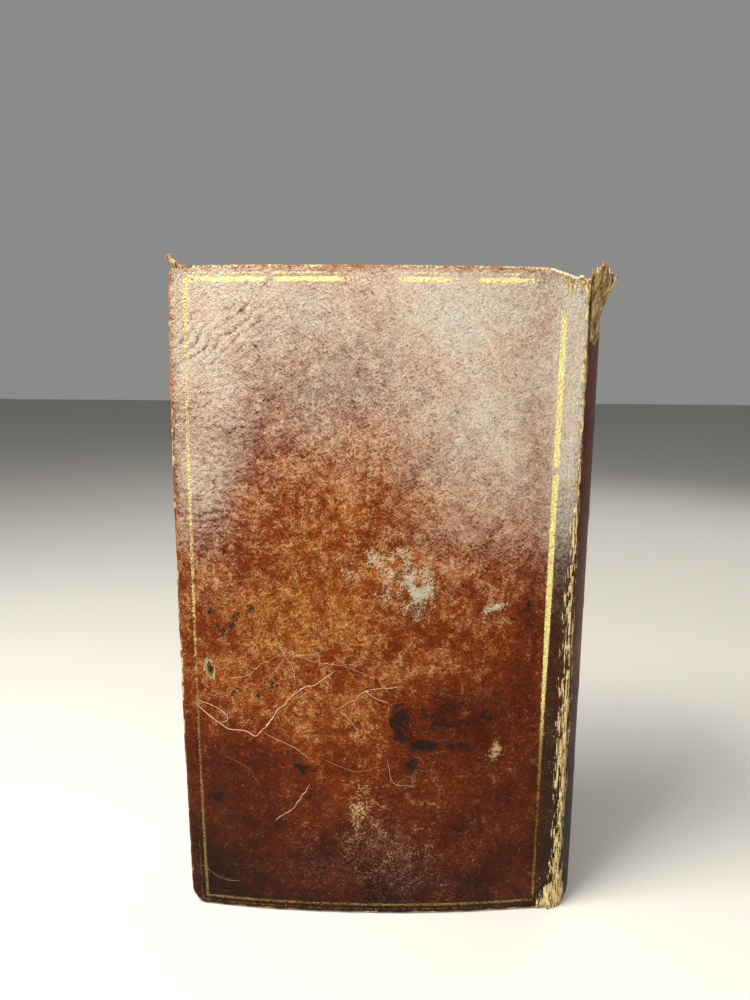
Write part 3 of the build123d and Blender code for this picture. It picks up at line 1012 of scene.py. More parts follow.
@dataclass(frozen=True)
class SprinkledCalf:
    """Vegetable-tanned calf, sprinkled, glazed with egg white and gilt in lines.

    Calf is fine-grained and takes a soft shine on its high places. Old calf darkens where hands
    leave it alone, goes orange where they rub it, and shows pale fibre where it is worn through.
    Its colour also holds painted light: a pale sheen towards the head, small tan highlights on the
    grain, shade in the creases and crevices, and a shadow beside each scratch.
    """

    dark: str = "#140500"
    deep: str = "#421302"
    red: str = "#672705"
    orange: str = "#95530d"
    tan: str = "#b5782c"
    band: str = "#20160e"
    painted_haze: str = "#bca995"
    cool_haze: str = "#b4b1a2"
    rubbed: str = "#b89c6e"
    cool_rubbed: str = "#a6a88f"
    ink: str = "#0b0c0d"
    scar: str = "#ccab84"
    hair: str = "#c09a6c"
    fibre: str = "#d6c18c"
    frayed: str = "#855f2e"
    board: str = "#dad9b4"
    gold: str = "#d3c683"
    dull_gold: str = "#7d6a3c"
    glaze: str = "#d39a70"
    grain: float = 0.55
    marks: tuple[str, ...] = (
        "tone", "band", "rub", "stain", "scratch", "scratched", "painted_sheen",
        "raw", "hole", "board", "fine", "broad", "gilt", "tarnish",
    )

    def make(self) -> bpy.types.Material:
        """Builds the material.

        Returns:
            The material.
        """
        r = Recipe("sprinkled_calf", self.marks)
        cloud, blotch = r.mottle(14.0, 5.0), r.mottle(3.0, 6.0, rough=0.7)
        speck, tooth = r.mottle(0.8, 5.0, rough=0.75), r.mottle(0.4, 2.0)
        pebble = r.add(CELLS, r.place, 1.0 / self.grain)
        streak = r.mottle(0.36, 3.0, stretch=(1.0, 1.0, 10.0))
        falling = r.mottle(0.3, 3.0, stretch=(8.0, 1.0, 1.0), turn=38.0)
        rising = r.mottle(0.3, 3.0, stretch=(7.0, 1.0, 1.0), turn=-24.0)
        tone = r.add(TIMES_ADD, r.mark["tone"], 0.5, 0.5)
        tone = r.swing(tone, (cloud, 0.26), (blotch, 0.42), (speck, 0.36), (tooth, 0.25))
        calf = self.burnished(r, tone)
        # the grain: darker in the valleys between its pebbles, and along fine creases both ways
        valley = r.add(STEP, r.swing(pebble, (tooth, 0.3)), 0.44, 0.72)
        crease = r.add(LARGER, r.add(STEP, falling, 0.4, 0.33), r.add(STEP, rising, 0.39, 0.33))
        crease = r.add(TIMES, crease, 0.85)
        dirt = r.add(LARGER, r.add(TIMES, valley, 0.4), crease)
        calf = r.add(MIX, dirt, calf, self.dark)
        # painted highlights: small tan strokes along the crests of the fine creases, only on the
        # lighter leather
        painted_glint = r.add(LARGER, r.add(STEP, falling, 0.61, 0.7), r.add(STEP, rising, 0.62, 0.7))
        painted_glint = r.add(TIMES, painted_glint, r.add(STEP, r.swing(blotch, (speck, 0.6)), 0.42, 0.6))
        painted_glint = r.add(TIMES, r.add(TIMES, painted_glint, 0.75), r.add(STEP, tone, 0.25, 0.6))
        calf = r.add(MIX, painted_glint, calf, self.tan)
        # painted sheen: a pale veil in two tints mixed into the colour where the calf shines,
        # thinner in the darkened grooves; partly a pale dry film on the leather
        painted_haze = r.swing(r.mark["painted_sheen"], (blotch, 0.5), (speck, 0.65), (cloud, 0.35), (tooth, 0.45))
        painted_haze = r.swing(painted_haze, (rising, 0.5), (falling, 0.4))
        painted_haze = r.add(TIMES, r.add(STEP, painted_haze, 0.05, 1.0), 0.9)
        painted_haze = r.add(TIMES, painted_haze, r.add(TIMES_ADD, dirt, -0.5, 1.0))
        cooler = r.add(STEP, r.swing(cloud, (blotch, 0.6)), 0.25, 0.75)
        tint = r.add(MIX, cooler, self.painted_haze, self.cool_haze)
        # the sprinkle: small dark drops of iron liquor, and the hairline crazing of the glaze
        drops = r.add(TIMES, r.add(STEP, speck, 0.6, 0.66), r.add(STEP, blotch, 0.44, 0.6))
        calf = r.add(MIX, r.add(TIMES, drops, 0.8), calf, self.dark)
        web = r.line(r.mottle(2.4, 5.0, rough=0.6), 0.02)
        craze = r.add(LARGER, web, r.line(rising, 0.015))
        craze = r.add(TIMES, craze, r.add(STEP, r.swing(tone, (blotch, 0.8)), 0.46, 0.66))
        calf = r.add(MIX, r.add(TIMES, craze, 0.55), calf, self.hair)
        patchy = r.add(STEP, r.swing(blotch, (speck, 0.6)), 0.2, 0.5)
        band = r.add(TIMES, r.mark["band"], patchy)
        calf = r.add(MIX, r.add(TIMES, band, 0.9), calf, self.band)
        calf = r.add(MIX, painted_haze, calf, tint)
        ink = r.swing(r.mark["stain"], (blotch, 3.6), (speck, 1.2), (rising, 0.8))
        spilt = r.add(STEP, r.mark["stain"], 0.06, 0.16)
        ink = r.add(TIMES, r.add(STEP, ink, 0.42, 0.54), spilt)
        calf = r.add(MIX, r.add(TIMES, ink, 0.92), calf, self.ink)
        rub = r.swing(r.mark["rub"], (blotch, 0.7), (speck, 1.4), (tooth, 1.2), (rising, 0.6))
        rub = r.add(TIMES, r.add(STEP, rub, 0.25, 0.8), r.add(STEP, r.mark["rub"], 0.05, 0.4))
        cool = r.add(LESS, r.add(STEP, cloud, 0.42, 0.52), r.mark["tarnish"], use_clamp=True)
        pale = r.add(MIX, cool, self.rubbed, self.cool_rubbed)
        calf = r.add(MIX, r.add(TIMES, rub, 0.72), calf, pale)
        # scratches: hairlines that narrow and break off where the skin is lower
        off = r.add(UNSIGNED, r.mark["scratch"])
        reach = r.add(TIMES_ADD, r.mark["scratched"], 0.08, 0.03)
        hair = r.swing(r.add(OVER, off, reach), (speck, 3.2))
        cut = r.add(STEP, r.mark["scratched"], 0.0, 0.7)
        hair = r.add(TIMES, r.add(STEP, hair, 1.25, 0.7), cut)
        # painted shadow: a dark strip along one side of each scratch
        shade = r.add(TIMES, r.add(STEP, r.mark["scratch"], 0.04, 0.14), r.mark["scratched"])
        shade = r.add(TIMES, shade, r.add(STEP, r.mark["scratch"], 0.42, 0.24))
        calf = r.add(MIX, r.add(TIMES, shade, 0.6), calf, self.dark)
        calf = r.add(MIX, r.add(TIMES, hair, 0.85), calf, self.scar)
        worn = r.add(STEP, r.swing(r.mark["raw"], (streak, 1.9), (speck, 0.7)), 0.42, 0.54)
        clean = r.add(STEP, r.swing(streak, (speck, 0.8)), 0.36, 0.62)
        fibre = r.add(MIX, clean, self.frayed, self.fibre)
        # painted shade: the bare fibre darker in its crevices and at the bottom of the hole
        pit = r.add(LARGER, r.mark["hole"], r.add(STEP, streak, 0.43, 0.35))
        fibre = r.add(MIX, r.add(TIMES, pit, r.add(STEP, speck, 0.42, 0.54)), fibre, self.dark)
        deep = r.add(STEP, r.swing(r.mark["hole"], (speck, 0.5)), 0.72, 0.86)
        fibre = r.add(MIX, r.add(TIMES, deep, 0.85), fibre, self.dark)
        calf = r.add(MIX, worn, calf, fibre)
        calf = r.add(MIX, r.add(STEP, r.mark["board"], 0.4, 0.6), calf, self.board)
        kept = r.add(LESS, 1.0, r.add(LARGER, worn, r.mark["board"]))
        gilt = r.add(TIMES, self.gilt(r, speck, blotch, tooth), kept, use_clamp=True)
        dull = r.swing(r.mark["tarnish"], (speck, 1.2), (tooth, 0.9))
        gold = r.add(MIX, r.add(STEP, dull, 0.3, 1.0), self.gold, self.dull_gold)
        calf = r.add(MIX, gilt, calf, gold)
        matt = r.add(LARGER, worn, r.mark["board"])
        matt = r.add(LARGER, matt, r.add(TIMES, rub, 0.5))
        shine = r.swing(r.add(BLEND, matt, 0.34, 0.85), (speck, 0.2), (blotch, 0.16))
        pebbled = r.swing(r.add(TIMES, pebble, -1.0), (tooth, 0.5))
        creased = r.swing(speck, (falling, 0.7), (rising, 0.6), (blotch, 1.4))
        relief = r.add(BUMP, pebbled, 0.3 * MM)
        relief = r.add(BUMP, creased, 0.45 * MM, relief)
        relief = r.add(BUMP, r.add(TIMES, streak, worn), 0.9 * MM, relief)
        return r.finish(
            Base_Color=calf,
            Roughness=r.add(BLEND, gilt, shine, 0.36),
            Metallic=r.add(TIMES, gilt, 0.65),
            Normal=relief,
            Specular_IOR_Level=0.16,
            Specular_Tint=self.glaze,
        )

    def burnished(self, r: Recipe, tone: Socket) -> Socket:
        """The bare leather's colour, from its darkest, which holds painted shade too, to where
        hands rub it bright.

        Args:
            r: the calf being made.
            tone: how far it is rubbed, less the shade painted into it, from 0 to 1.

        Returns:
            The colour.
        """
        stops = (0.1, self.dark), (0.3, self.deep), (0.5, self.red), (0.72, self.orange)
        stops = (*stops, (0.98, self.tan))
        node = add_node(r.tree, "ShaderNodeValToRGB", {"Fac": tone})
        while len(node.color_ramp.elements) < len(stops):
            node.color_ramp.elements.new(1.0)
        for element, (place, colour) in zip(node.color_ramp.elements, stops):
            element.position, element.color = place, linear(colour)
        return node.outputs["Color"]

    def gilt(self, r: Recipe, speck: Socket, blotch: Socket, tooth: Socket) -> Socket:
        """Where gold leaf is left on the two tooled lines.

        Args:
            r: the calf being made.
            speck: its noise of 0.8 mm.
            blotch: its noise of 3 mm.
            tooth: its noise of 0.4 mm.

        Returns:
            From 0, bare leather, to 1, gold.
        """
        left = r.add(TIMES_ADD, r.mark["gilt"], 1.2, -0.3)
        left = r.swing(left, (speck, 2.8), (blotch, 1.3), (tooth, 2.0))
        broad = r.swing(r.mark["broad"], (speck, 1.0), (tooth, 0.6))
        broad = r.add(TIMES, r.add(STEP, broad, 0.04, -0.1), r.add(STEP, left, 0.15, 0.5))
        fine = r.add(STEP, r.mark["fine"], TOOLING.fine + 0.1, TOOLING.fine)
        fine = r.add(TIMES, fine, r.add(STEP, left, 0.5, 0.9))
        return r.add(LARGER, broad, r.add(TIMES, fine, 0.7))


@dataclass(frozen=True)
class TornCalf:
    """The flesh side of calf, torn: matt, tan, with long fibres and painted shade in the cracks
    between them.
    """

    pale: str = "#c9ab6c"
    tan: str = "#8d682f"
    split: str = "#2a190b"

    def make(self) -> bpy.types.Material:
        """Builds the material.

        Returns:
            The material.
        """
        r = Recipe("torn_calf")
        strand = r.mottle(0.5, 4.0, stretch=(1.0, 1.0, 6.0), rough=0.65)
        patch, crumb = r.mottle(2.6, 5.0, rough=0.65), r.mottle(0.5, 4.0, rough=0.7)
        patches = r.add(STEP, r.swing(patch, (crumb, 0.7)), 0.35, 0.65)
        colour = r.add(MIX, patches, self.tan, self.pale)
        # painted shade in the cracks between the strands and along fine lines
        gaps = r.add(STEP, r.swing(strand, (patch, 0.5)), 0.48, 0.38)
        dark = r.add(LARGER, gaps, r.line(patch, 0.012))
        colour = r.add(MIX, dark, colour, self.split)
        relief = r.add(BUMP, crumb, 0.5 * MM, r.add(BUMP, strand, 0.9 * MM))
        return r.finish(Base_Color=colour, Roughness=0.9, Normal=relief)


@dataclass(frozen=True)
class RagPaper:
    """Hand-made rag paper: matt, warm with age, browner at its edges, with brown fox marks."""

    name: str
    sheet: str = "#d8c8a0"
    aged: str = "#b4955e"
    fox: str = "#8d6436"
    box_low: tuple[float, float] = (0.0, 0.0)
    box_high: tuple[float, float] = (0.0, 0.0)
    chain: float = 0.0

    def make(self) -> bpy.types.Material:
        """Builds the material.

        Returns:
            The material.
        """
        r = Recipe(self.name)
        cloud = r.mottle(22.0, 5.0)
        fine = r.mottle(0.5, 3.0)
        marks = r.mottle(4.5, 4.0, rough=0.7)
        x, _, z = (
            add_node(r.tree, "ShaderNodeSeparateXYZ", {0: r.place}).outputs[i] for i in range(3)
        )
        toward = r.add(TIMES_ADD, cloud, 14.0, -7.0)
        rims = [
            r.add(LESS, x, self.box_low[0]),
            r.add(LESS, z, self.box_low[1]),
            r.add(LESS, self.box_high[1], z),
        ]
        rim = r.add(SMALLER, rims[0], r.add(SMALLER, rims[1], rims[2]))
        rim = r.add(STEP, r.add(ADD, rim, toward), 9.0, -3.0)
        colour = r.add(MIX, r.add(STEP, cloud, 0.3, 0.75), self.sheet, self.aged)
        colour = r.add(MIX, r.add(TIMES, rim, 0.6), colour, self.aged)
        colour = r.add(MIX, r.add(TIMES, r.add(STEP, marks, 0.66, 0.74), 0.6), colour, self.fox)
        height = fine
        if self.chain:
            laid = add_node(
                r.tree, "ShaderNodeTexWave", {"Vector": r.place, "Scale": self.chain / 20}
            )
            laid.bands_direction = "Z"
            height = r.add(ADD, fine, r.add(TIMES, laid.outputs["Fac"], 0.4))
        return r.finish(Base_Color=colour, Roughness=0.88, Normal=r.add(BUMP, height, 0.05 * MM))


@dataclass(frozen=True)
class Pasteboard:
    """Board pasted up from waste sheets: matt, grey-buff, its layers showing on the edge."""

    sheet: str = "#cfc8a6"
    waste: str = "#9b9070"

    def make(self) -> bpy.types.Material:
        """Builds the material.

        Returns:
            The material.
        """
        r = Recipe("pasteboard")
        layers = r.mottle(0.35, 2.0, stretch=(20.0, 1.0, 20.0))
        colour = r.add(MIX, r.add(STEP, layers, 0.4, 0.6), self.waste, self.sheet)
        return r.finish(Base_Color=colour, Roughness=0.95, Normal=r.add(BUMP, layers, 0.2 * MM))


@dataclass(frozen=True)
class TwistedCord:
    """Twisted hemp or linen: dull, straw-coloured, its plies as slanting bands."""

    name: str
    ply: float
    light: str
    shade: str

    def make(self) -> bpy.types.Material:
        """Builds the material.

        Returns:
            The material.
        """
        r = Recipe(self.name)
        wave = add_node(
            r.tree,
            "ShaderNodeTexWave",
            {"Vector": r.place, "Scale": 0.32 / self.ply, "Distortion": 1.2},
            bands_direction="DIAGONAL",
        ).outputs["Fac"]
        hairs = r.mottle(0.2, 3.0)
        colour = r.add(MIX, r.add(STEP, wave, 0.2, 0.7), self.shade, self.light)
        height = r.add(ADD, wave, r.add(TIMES, hairs, 0.4))
        relief = r.add(BUMP, height, self.ply / 3 * MM)
        return r.finish(Base_Color=colour, Roughness=0.85, Normal=relief)


@dataclass(frozen=True)
class WorkedSilk:
    """Floss silk in two faded colours, wound side by side: a soft shine along each thread."""

    rose: str = "#8c4a34"
    straw: str = "#c7ae79"
    dirt: str = "#4c3522"

    def make(self) -> bpy.types.Material:
        """Builds the material.

        Returns:
            The material.
        """
        r = Recipe("endband_silk", ("turn",))
        turn = r.add(FRACTION, r.add(TIMES, r.mark["turn"], 0.125))
        colour = r.add(MIX, r.add(STEP, turn, 0.49, 0.51), self.rose, self.straw)
        smut = r.add(TIMES, r.add(STEP, r.mottle(0.8, 4.0), 0.5, 0.7), 0.5)
        colour = r.add(MIX, smut, colour, self.dirt)
        threads = r.add(SINE, r.add(TIMES, r.mark["turn"], 25.0))
        return r.finish(Base_Color=colour, Roughness=0.5, Normal=r.add(BUMP, threads, 0.04 * MM))


@dataclass(frozen=True)
class PulpCard:
    """Card dried on felt: pale and dead matt, with a faint tooth."""

    low: str = "#b0aea9"
    high: str = "#b9b7b2"

    def make(self) -> bpy.types.Material:
        """Builds the material.

        Returns:
            The material.
        """
        r = Recipe("studio_card")
        tooth = r.mottle(1.2, 3.0)
        colour = r.add(MIX, tooth, self.low, self.high)
        return r.finish(Base_Color=colour, Roughness=0.9, Normal=r.add(BUMP, tooth, 0.02 * MM))


# -------------------------------------------------------------------------------- covers


@dataclass(frozen=True)
class WrappedBoard:
    """A closed board shape whose face runs round its three free edges onto the inside.

    Its face is a grid. Rings of points follow the grid's edge outwards, down over the edge and
    back in, and long quads close the inside, where the board is straight from tail to head.
    """

    book: Book
    side: Side
    inset: float
    outer: float
    inner: float
    rounding: float
    spacing: float
    tail_corner: float = 4.6
    head_corner: float = 3.4

    def corner(self, across: np.ndarray, up: np.ndarray) -> tuple[np.ndarray, np.ndarray]:
        """Rounds the two fore corners.

        Inside the square that holds a rounded corner, a point keeps its direction from the
        square's inner corner, and its larger coordinate becomes its distance.

        Args:
            across: square coordinates, mm.
            up: square coordinates, mm.

        Returns:
            The rounded coordinates.
        """
        for size, edge, inward in (
            (self.tail_corner, 0.0, 1.0),
            (self.head_corner, self.book.height, -1.0),
        ):
            da, db = across - size, (up - edge) * inward - size
            inside = (da < 0) & (db < 0)
            reach, run = np.maximum(-da, -db), np.hypot(da, db)
            share = np.where(inside, reach / np.maximum(run, 1e-9), 1.0)
            across = np.where(inside, size + da * share, across)
            up = np.where(inside, edge + inward * (size + db * share), up)
        return across, up

    def rings(self) -> list[tuple[float, float]]:
        """Where the rings lie: round the face's edge, and on to the turn-in's inner edge.

        Returns:
            The inset and the depth of each ring, mm.
        """
        r, soft = self.rounding, 0.5
        quarter = np.radians([22.5, 45.0, 67.5, 90.0])
        over = [(r - r * math.sin(t), self.outer + r - r * math.cos(t)) for t in quarter]
        under = [
            (soft - soft * math.cos(t), self.inner - soft + soft * math.sin(t))
            for t in (0.0, *quarter[1::2])
        ]
        inside = [(reach, self.inner) for reach in (3.0, 8.0, 13.5)]
        return [(self.inset + i, d) for i, d in over + under] + inside

    def make(self, marks: CalfMarks | None) -> tuple[np.ndarray, list[np.ndarray], dict]:
        """Works out the whole closed shape.

        Args:
            marks: the calf's wear, or None for a plain board.

        Returns:
            The points, the blocks of faces, and the finish's values.
        """
        book, edge = self.book, self.inset + self.rounding
        wide = int(round((book.length - edge) / self.spacing))
        high = int(round((book.height - 2 * edge) / self.spacing))
        share_a, share_b = np.linspace(0, 1, wide + 1), np.linspace(0, 1, high + 1)

        def reach(inset: float) -> tuple[np.ndarray, np.ndarray]:
            """The grid's places across and up, when its edge lies at this inset."""
            across = inset + (book.length - inset) * share_a
            return across, inset + (book.height - 2 * inset) * share_b

        across, up = reach(edge)
        face_a, face_b = (g.ravel() for g in np.meshgrid(across, up, indexing="ij"))
        places, depths, exposed = [(face_a, face_b)], [np.full(len(face_a), self.outer)], []
        from_edge = np.minimum.reduce([face_a - edge, face_b - edge, book.height - edge - face_b])
        exposed.append(0.35 * smooth_step(1.2, 0.0, from_edge))
        rings = self.rings()
        for inset, depth in rings:
            across, up = reach(inset)
            path_a = np.concatenate([across[::-1], np.full(high - 1, inset), across])
            path_b = np.concatenate(
                [np.full(wide + 1, up[0]), up[1:-1], np.full(wide + 1, up[-1])]
            )
            places.append((path_a, path_b))
            depths.append(np.full(len(path_a), depth))
            bare = 1.0 - abs(depth - self.outer - self.rounding * 0.45) / 1.6
            exposed.append(np.full(len(path_a), max(bare, 0.0)))
        square_a, square_b = (np.concatenate(part) for part in zip(*places))
        depth, exposed = np.concatenate(depths), np.concatenate(exposed)
        across, up = self.corner(square_a, square_b)
        values: dict[str, np.ndarray] = {}
        if marks is not None:
            values = marks.read(across, up, exposed)
            fade = smooth_step(self.outer + self.rounding * 1.2, self.outer, depth)
            depth = depth - marks.relief(across, up) * fade
            dents = noise(across + depth * 2, up, 5.0, WEAR[self.side].seed + 20, octaves=4)
            depth = depth + 0.28 * exposed * dents
        # handling has rounded the fore edge in towards both its corners
        pulled = 1.2 * (np.maximum(95.0 - up, 0) / 95) ** 2
        pulled = pulled + 0.9 * (np.maximum(up - 120.0, 0) / 55) ** 2
        across = across + pulled * smooth_step(45.0, 0.0, across)
        lost = WEAR[self.side].crushed_head * smooth_step(93.0, 104.0, across)
        up = up - lost * smooth_step(book.height - 16.0, book.height, up)
        points = book.on_board(self.side, across, up, depth)
        if marks is not None:
            worn = noise(across, up, 2.2, WEAR[self.side].seed + 21, octaves=3)
            inward = 0.22 * exposed * (0.6 + worn)
            points[:, 0] += inward * smooth_step(3.0, 0.0, across)
            points[:, 2] += inward * smooth_step(3.0, 0.0, up)
            points[:, 2] -= inward * smooth_step(book.height - 3.0, book.height, up)
        return points, self.faces(wide, high, len(rings)), values

    def faces(self, wide: int, high: int, rings: int) -> list[np.ndarray]:
        """Corner numbers of the face, the rings, the inside and the spine edge.

        Args:
            wide: how many quads the face has across.
            high: how many it has up.
            rings: how many rings follow it.

        Returns:
            The quads, the fore edge's inner face and the spine edge's face.
        """
        grid = np.arange((wide + 1) * (high + 1)).reshape(wide + 1, high + 1)
        path = np.concatenate([grid[::-1, 0], grid[0, 1:-1], grid[:, -1]])
        paths = [path]
        for ring in range(rings):
            paths.append(grid.size + ring * len(path) + np.arange(len(path)))
        strips = [
            np.stack([a[:-1], b[:-1], b[1:], a[1:]], axis=1) for a, b in zip(paths, paths[1:])
        ]
        last = paths[-1]
        tail, head = last[: wide + 1][::-1], last[-(wide + 1) :]
        inside = np.stack([tail[1:-1], tail[2:], head[2:], head[1:-1]], axis=1)
        fore = np.concatenate([[tail[1]], last[wide : wide + high + 1], [head[1]]])
        end = np.concatenate([grid[-1], [p[-1] for p in paths[1:]], [p[0] for p in paths[:0:-1]]])
        face = grid_faces(wide + 1, high + 1)
        return [np.concatenate([face, *strips, inside]), fore[None, :], end[None, :]]


@dataclass(frozen=True)
class Cover:
    """One board with its calf, its pastedown and the leather of its joint."""

    book: Book
    side: Side
    calf: bpy.types.Material
    board: bpy.types.Material
    paper: bpy.types.Material
    torn: bpy.types.Material

    def build(self) -> None:
        """Makes the cover's pieces and gives each but the joint's calf its body."""
        self.build_calf()
        self.build_board()
        self.build_pastedown()
        self.build_joint()
        self.build_inner_joint()
        if self.side is Side.BACK:
            self.build_corner_curl()

    def build_corner_curl(self) -> None:
        """A curl of torn calf that stands up from the head corner by the fore edge."""
        book = self.book
        line = [(6.0, 173.4), (4.4, 173.9), (3.4, 174.8), (2.6, 175.4), (1.7, 176.3), (1.2, 177.4)]
        across, up = smooth_line(np.array(line), 8).T
        share = np.linspace(0, 1, len(across))
        depth = 0.9 - 0.9 * np.sin(math.pi * share)
        path = book.on_board(self.side, across, up, depth)
        outward = np.zeros(path.shape) + np.array([0.0, float(self.side.value), 0.0])
        along = np.gradient(path, axis=0)
        sideways = np.cross(along, outward)
        sideways /= np.linalg.norm(sideways, axis=1)[:, None]
        wide = (0.95 - 0.55 * share + 0.22 * smooth_step(0.8, 1.0, share))[:, None]
        around = np.arange(12) / 12 * 2 * math.pi
        radius = wide * (1.0 - 0.45 * np.abs(np.sin(around)))[None, :]
        radius = radius * (1 + 0.25 * noise(share[:, None] * 12, around[None, :], 2.0, 61))
        points, quads, caps = tube(path, sideways, outward, radius)
        points[:, 2] = np.minimum(points[:, 2], book.torn_tip)
        piece = add_piece("corner_curl", points, [quads, caps], self.torn)
        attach(piece, f"{self.side.word}_cover")

    def build_calf(self) -> None:
        """The calf, from its face round the edges to the turn-ins."""
        book = self.book
        inner = book.skin + book.board + book.turn_in
        fine = 0.5 if self.side is Side.BACK else 0.62
        shape = WrappedBoard(
            book, self.side, inset=0.0, outer=0.0, inner=inner, rounding=1.0, spacing=fine
        )
        points, faces, values = shape.make(CalfMarks(self.side, book))
        name = f"{self.side.word}_calf"
        piece = add_piece(name, points, faces, self.calf, values)
        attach(piece, f"{self.side.word}_cover")
        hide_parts(f"{self.side.word}_cover_leather")

    def build_board(self) -> None:
        """The pasteboard inside the calf."""
        book = self.book
        skin, inner = book.skin, book.skin + book.board
        shape = WrappedBoard(
            book, self.side, inset=skin, outer=skin, inner=inner, rounding=0.6, spacing=3.0
        )
        points, faces, _ = shape.make(None)
        points[:, 0] = np.minimum(points[:, 0], book.board_end - 0.05)
        piece = add_piece(f"{self.side.word}_pasteboard", points, faces, self.board)
        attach(piece, f"{self.side.word}_cover")
        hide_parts(f"{self.side.word}_board")

    def build_pastedown(self) -> None:
        """The pasted endpaper: the turn-ins and the cords show through it as low steps."""
        book, margin, turned_in = self.book, 3.0, 14.0
        seed = WEAR[self.side].seed + 30
        across, up = np.meshgrid(
            np.linspace(margin, book.length - 0.02, 90),
            np.linspace(margin, book.height - margin, 150),
            indexing="ij",
        )
        ragged = 0.35 * noise(up, across, 6.0, seed, octaves=3)
        edge = smooth_step(margin + 2.0, margin, across)
        across = across + ragged * edge
        inward = np.minimum.reduce([across, up, book.height - up])
        rim = inward - turned_in
        sunk = 0.2 * smooth_step(-0.6, 0.6, rim + 0.4 * ragged)
        near = np.min(np.abs(up[..., None] - book.cord_heights), axis=-1)
        slip = smooth_step(3.4, 2.6, near) * smooth_step(85.0, 89.0, across)
        wave = 0.035 * noise(across, up, 18.0, seed + 1, octaves=3)
        level = book.skin + book.board + book.turn_in + book.pastedown
        face = level - sunk + 0.13 * slip + wave
        front = book.on_board(self.side, across, up, face)
        back = book.on_board(self.side, across, up, np.full(up.shape, level - 0.3))
        points, faces = shell(front, back)
        piece = add_piece(f"{self.side.word}_paste_down", points, [faces], self.paper)
        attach(piece, f"{self.side.word}_cover")
        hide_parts(f"{self.side.word}_pastedown")

    def build_joint(self) -> None:
        """The calf across the hinge, from the cover's face onto the spine."""
        book, marks = self.book, CalfMarks(self.side, self.book)
        reach_in, reach_out, spacing = 3.2, 1.6, 0.16
        count = int((reach_in + reach_out) / spacing)
        step = np.linspace(-reach_in, reach_out, count + 1)
        top = book.height - 1.4
        off, up = np.meshgrid(step, np.linspace(0.15, top, 420), indexing="ij")
        across = book.length + off
        head = WEAR[self.side].crushed_head
        up = up - head * smooth_step(book.height - 16.0, book.height, up)
        on_cover = book.on_board(self.side, np.minimum(across, book.length), up, 0.0)
        on_spine = book.on_spine(self.side, np.maximum(off - 0.15, 0.0), up, 0.0)
        over = smooth_step(-0.15, 0.3, off)[..., None]
        level = on_cover * (1 - over) + on_spine * over
        level[..., 0] = np.where(off < 0.15, book.fore + across, level[..., 0])
        ends = smooth_step(0.0, 0.7, off + reach_in) * smooth_step(0.0, 0.5, reach_out - off)
        lift = marks.relief(across, up) + 0.07 * ends - 0.12 * (1.0 - ends)
        outward = np.zeros(level.shape)
        outward[..., 1] = self.side.value * (1.0 - 0.3 * over[..., 0])
        outward[..., 0] = 0.7 * over[..., 0]
        front = level + outward * lift[..., None]
        back = level - outward * 0.22
        points, faces = shell(front, back)
        values = marks.read(np.concatenate([across.ravel()] * 2), np.concatenate([up.ravel()] * 2))
        piece = add_piece(f"{self.side.word}_joint_calf", points, [faces], self.calf, values)
        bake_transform(piece)

    def build_inner_joint(self) -> None:
        """The paper on the spine's side of the inner joint, from the hinge to the endpaper."""
        book = self.book
        low, high = book.square, book.height - book.square
        line = ((book.joint - 0.02, book.half - 0.5), (book.joint - 0.08, 13.0), (48.62, 12.62))
        x, y = np.array(line).T
        run = np.linspace(0, 1, 13)
        x, y = np.interp(run, [0, 0.88, 1], x), np.interp(run, [0, 0.88, 1], y)
        x, up = np.meshgrid(x, np.linspace(low, high, 60), indexing="ij")
        y = np.broadcast_to(y[:, None], x.shape)
        front = np.stack([x, self.side.value * y, up], axis=-1)
        back = front + np.array([0.09, 0.0, 0.0])
        points, faces = shell(front, back)
        piece = add_piece(f"{self.side.word}_inner_joint", points, [faces], self.paper)
        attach(piece, "spine")


# --------------------------------------------------------------------------------- spine


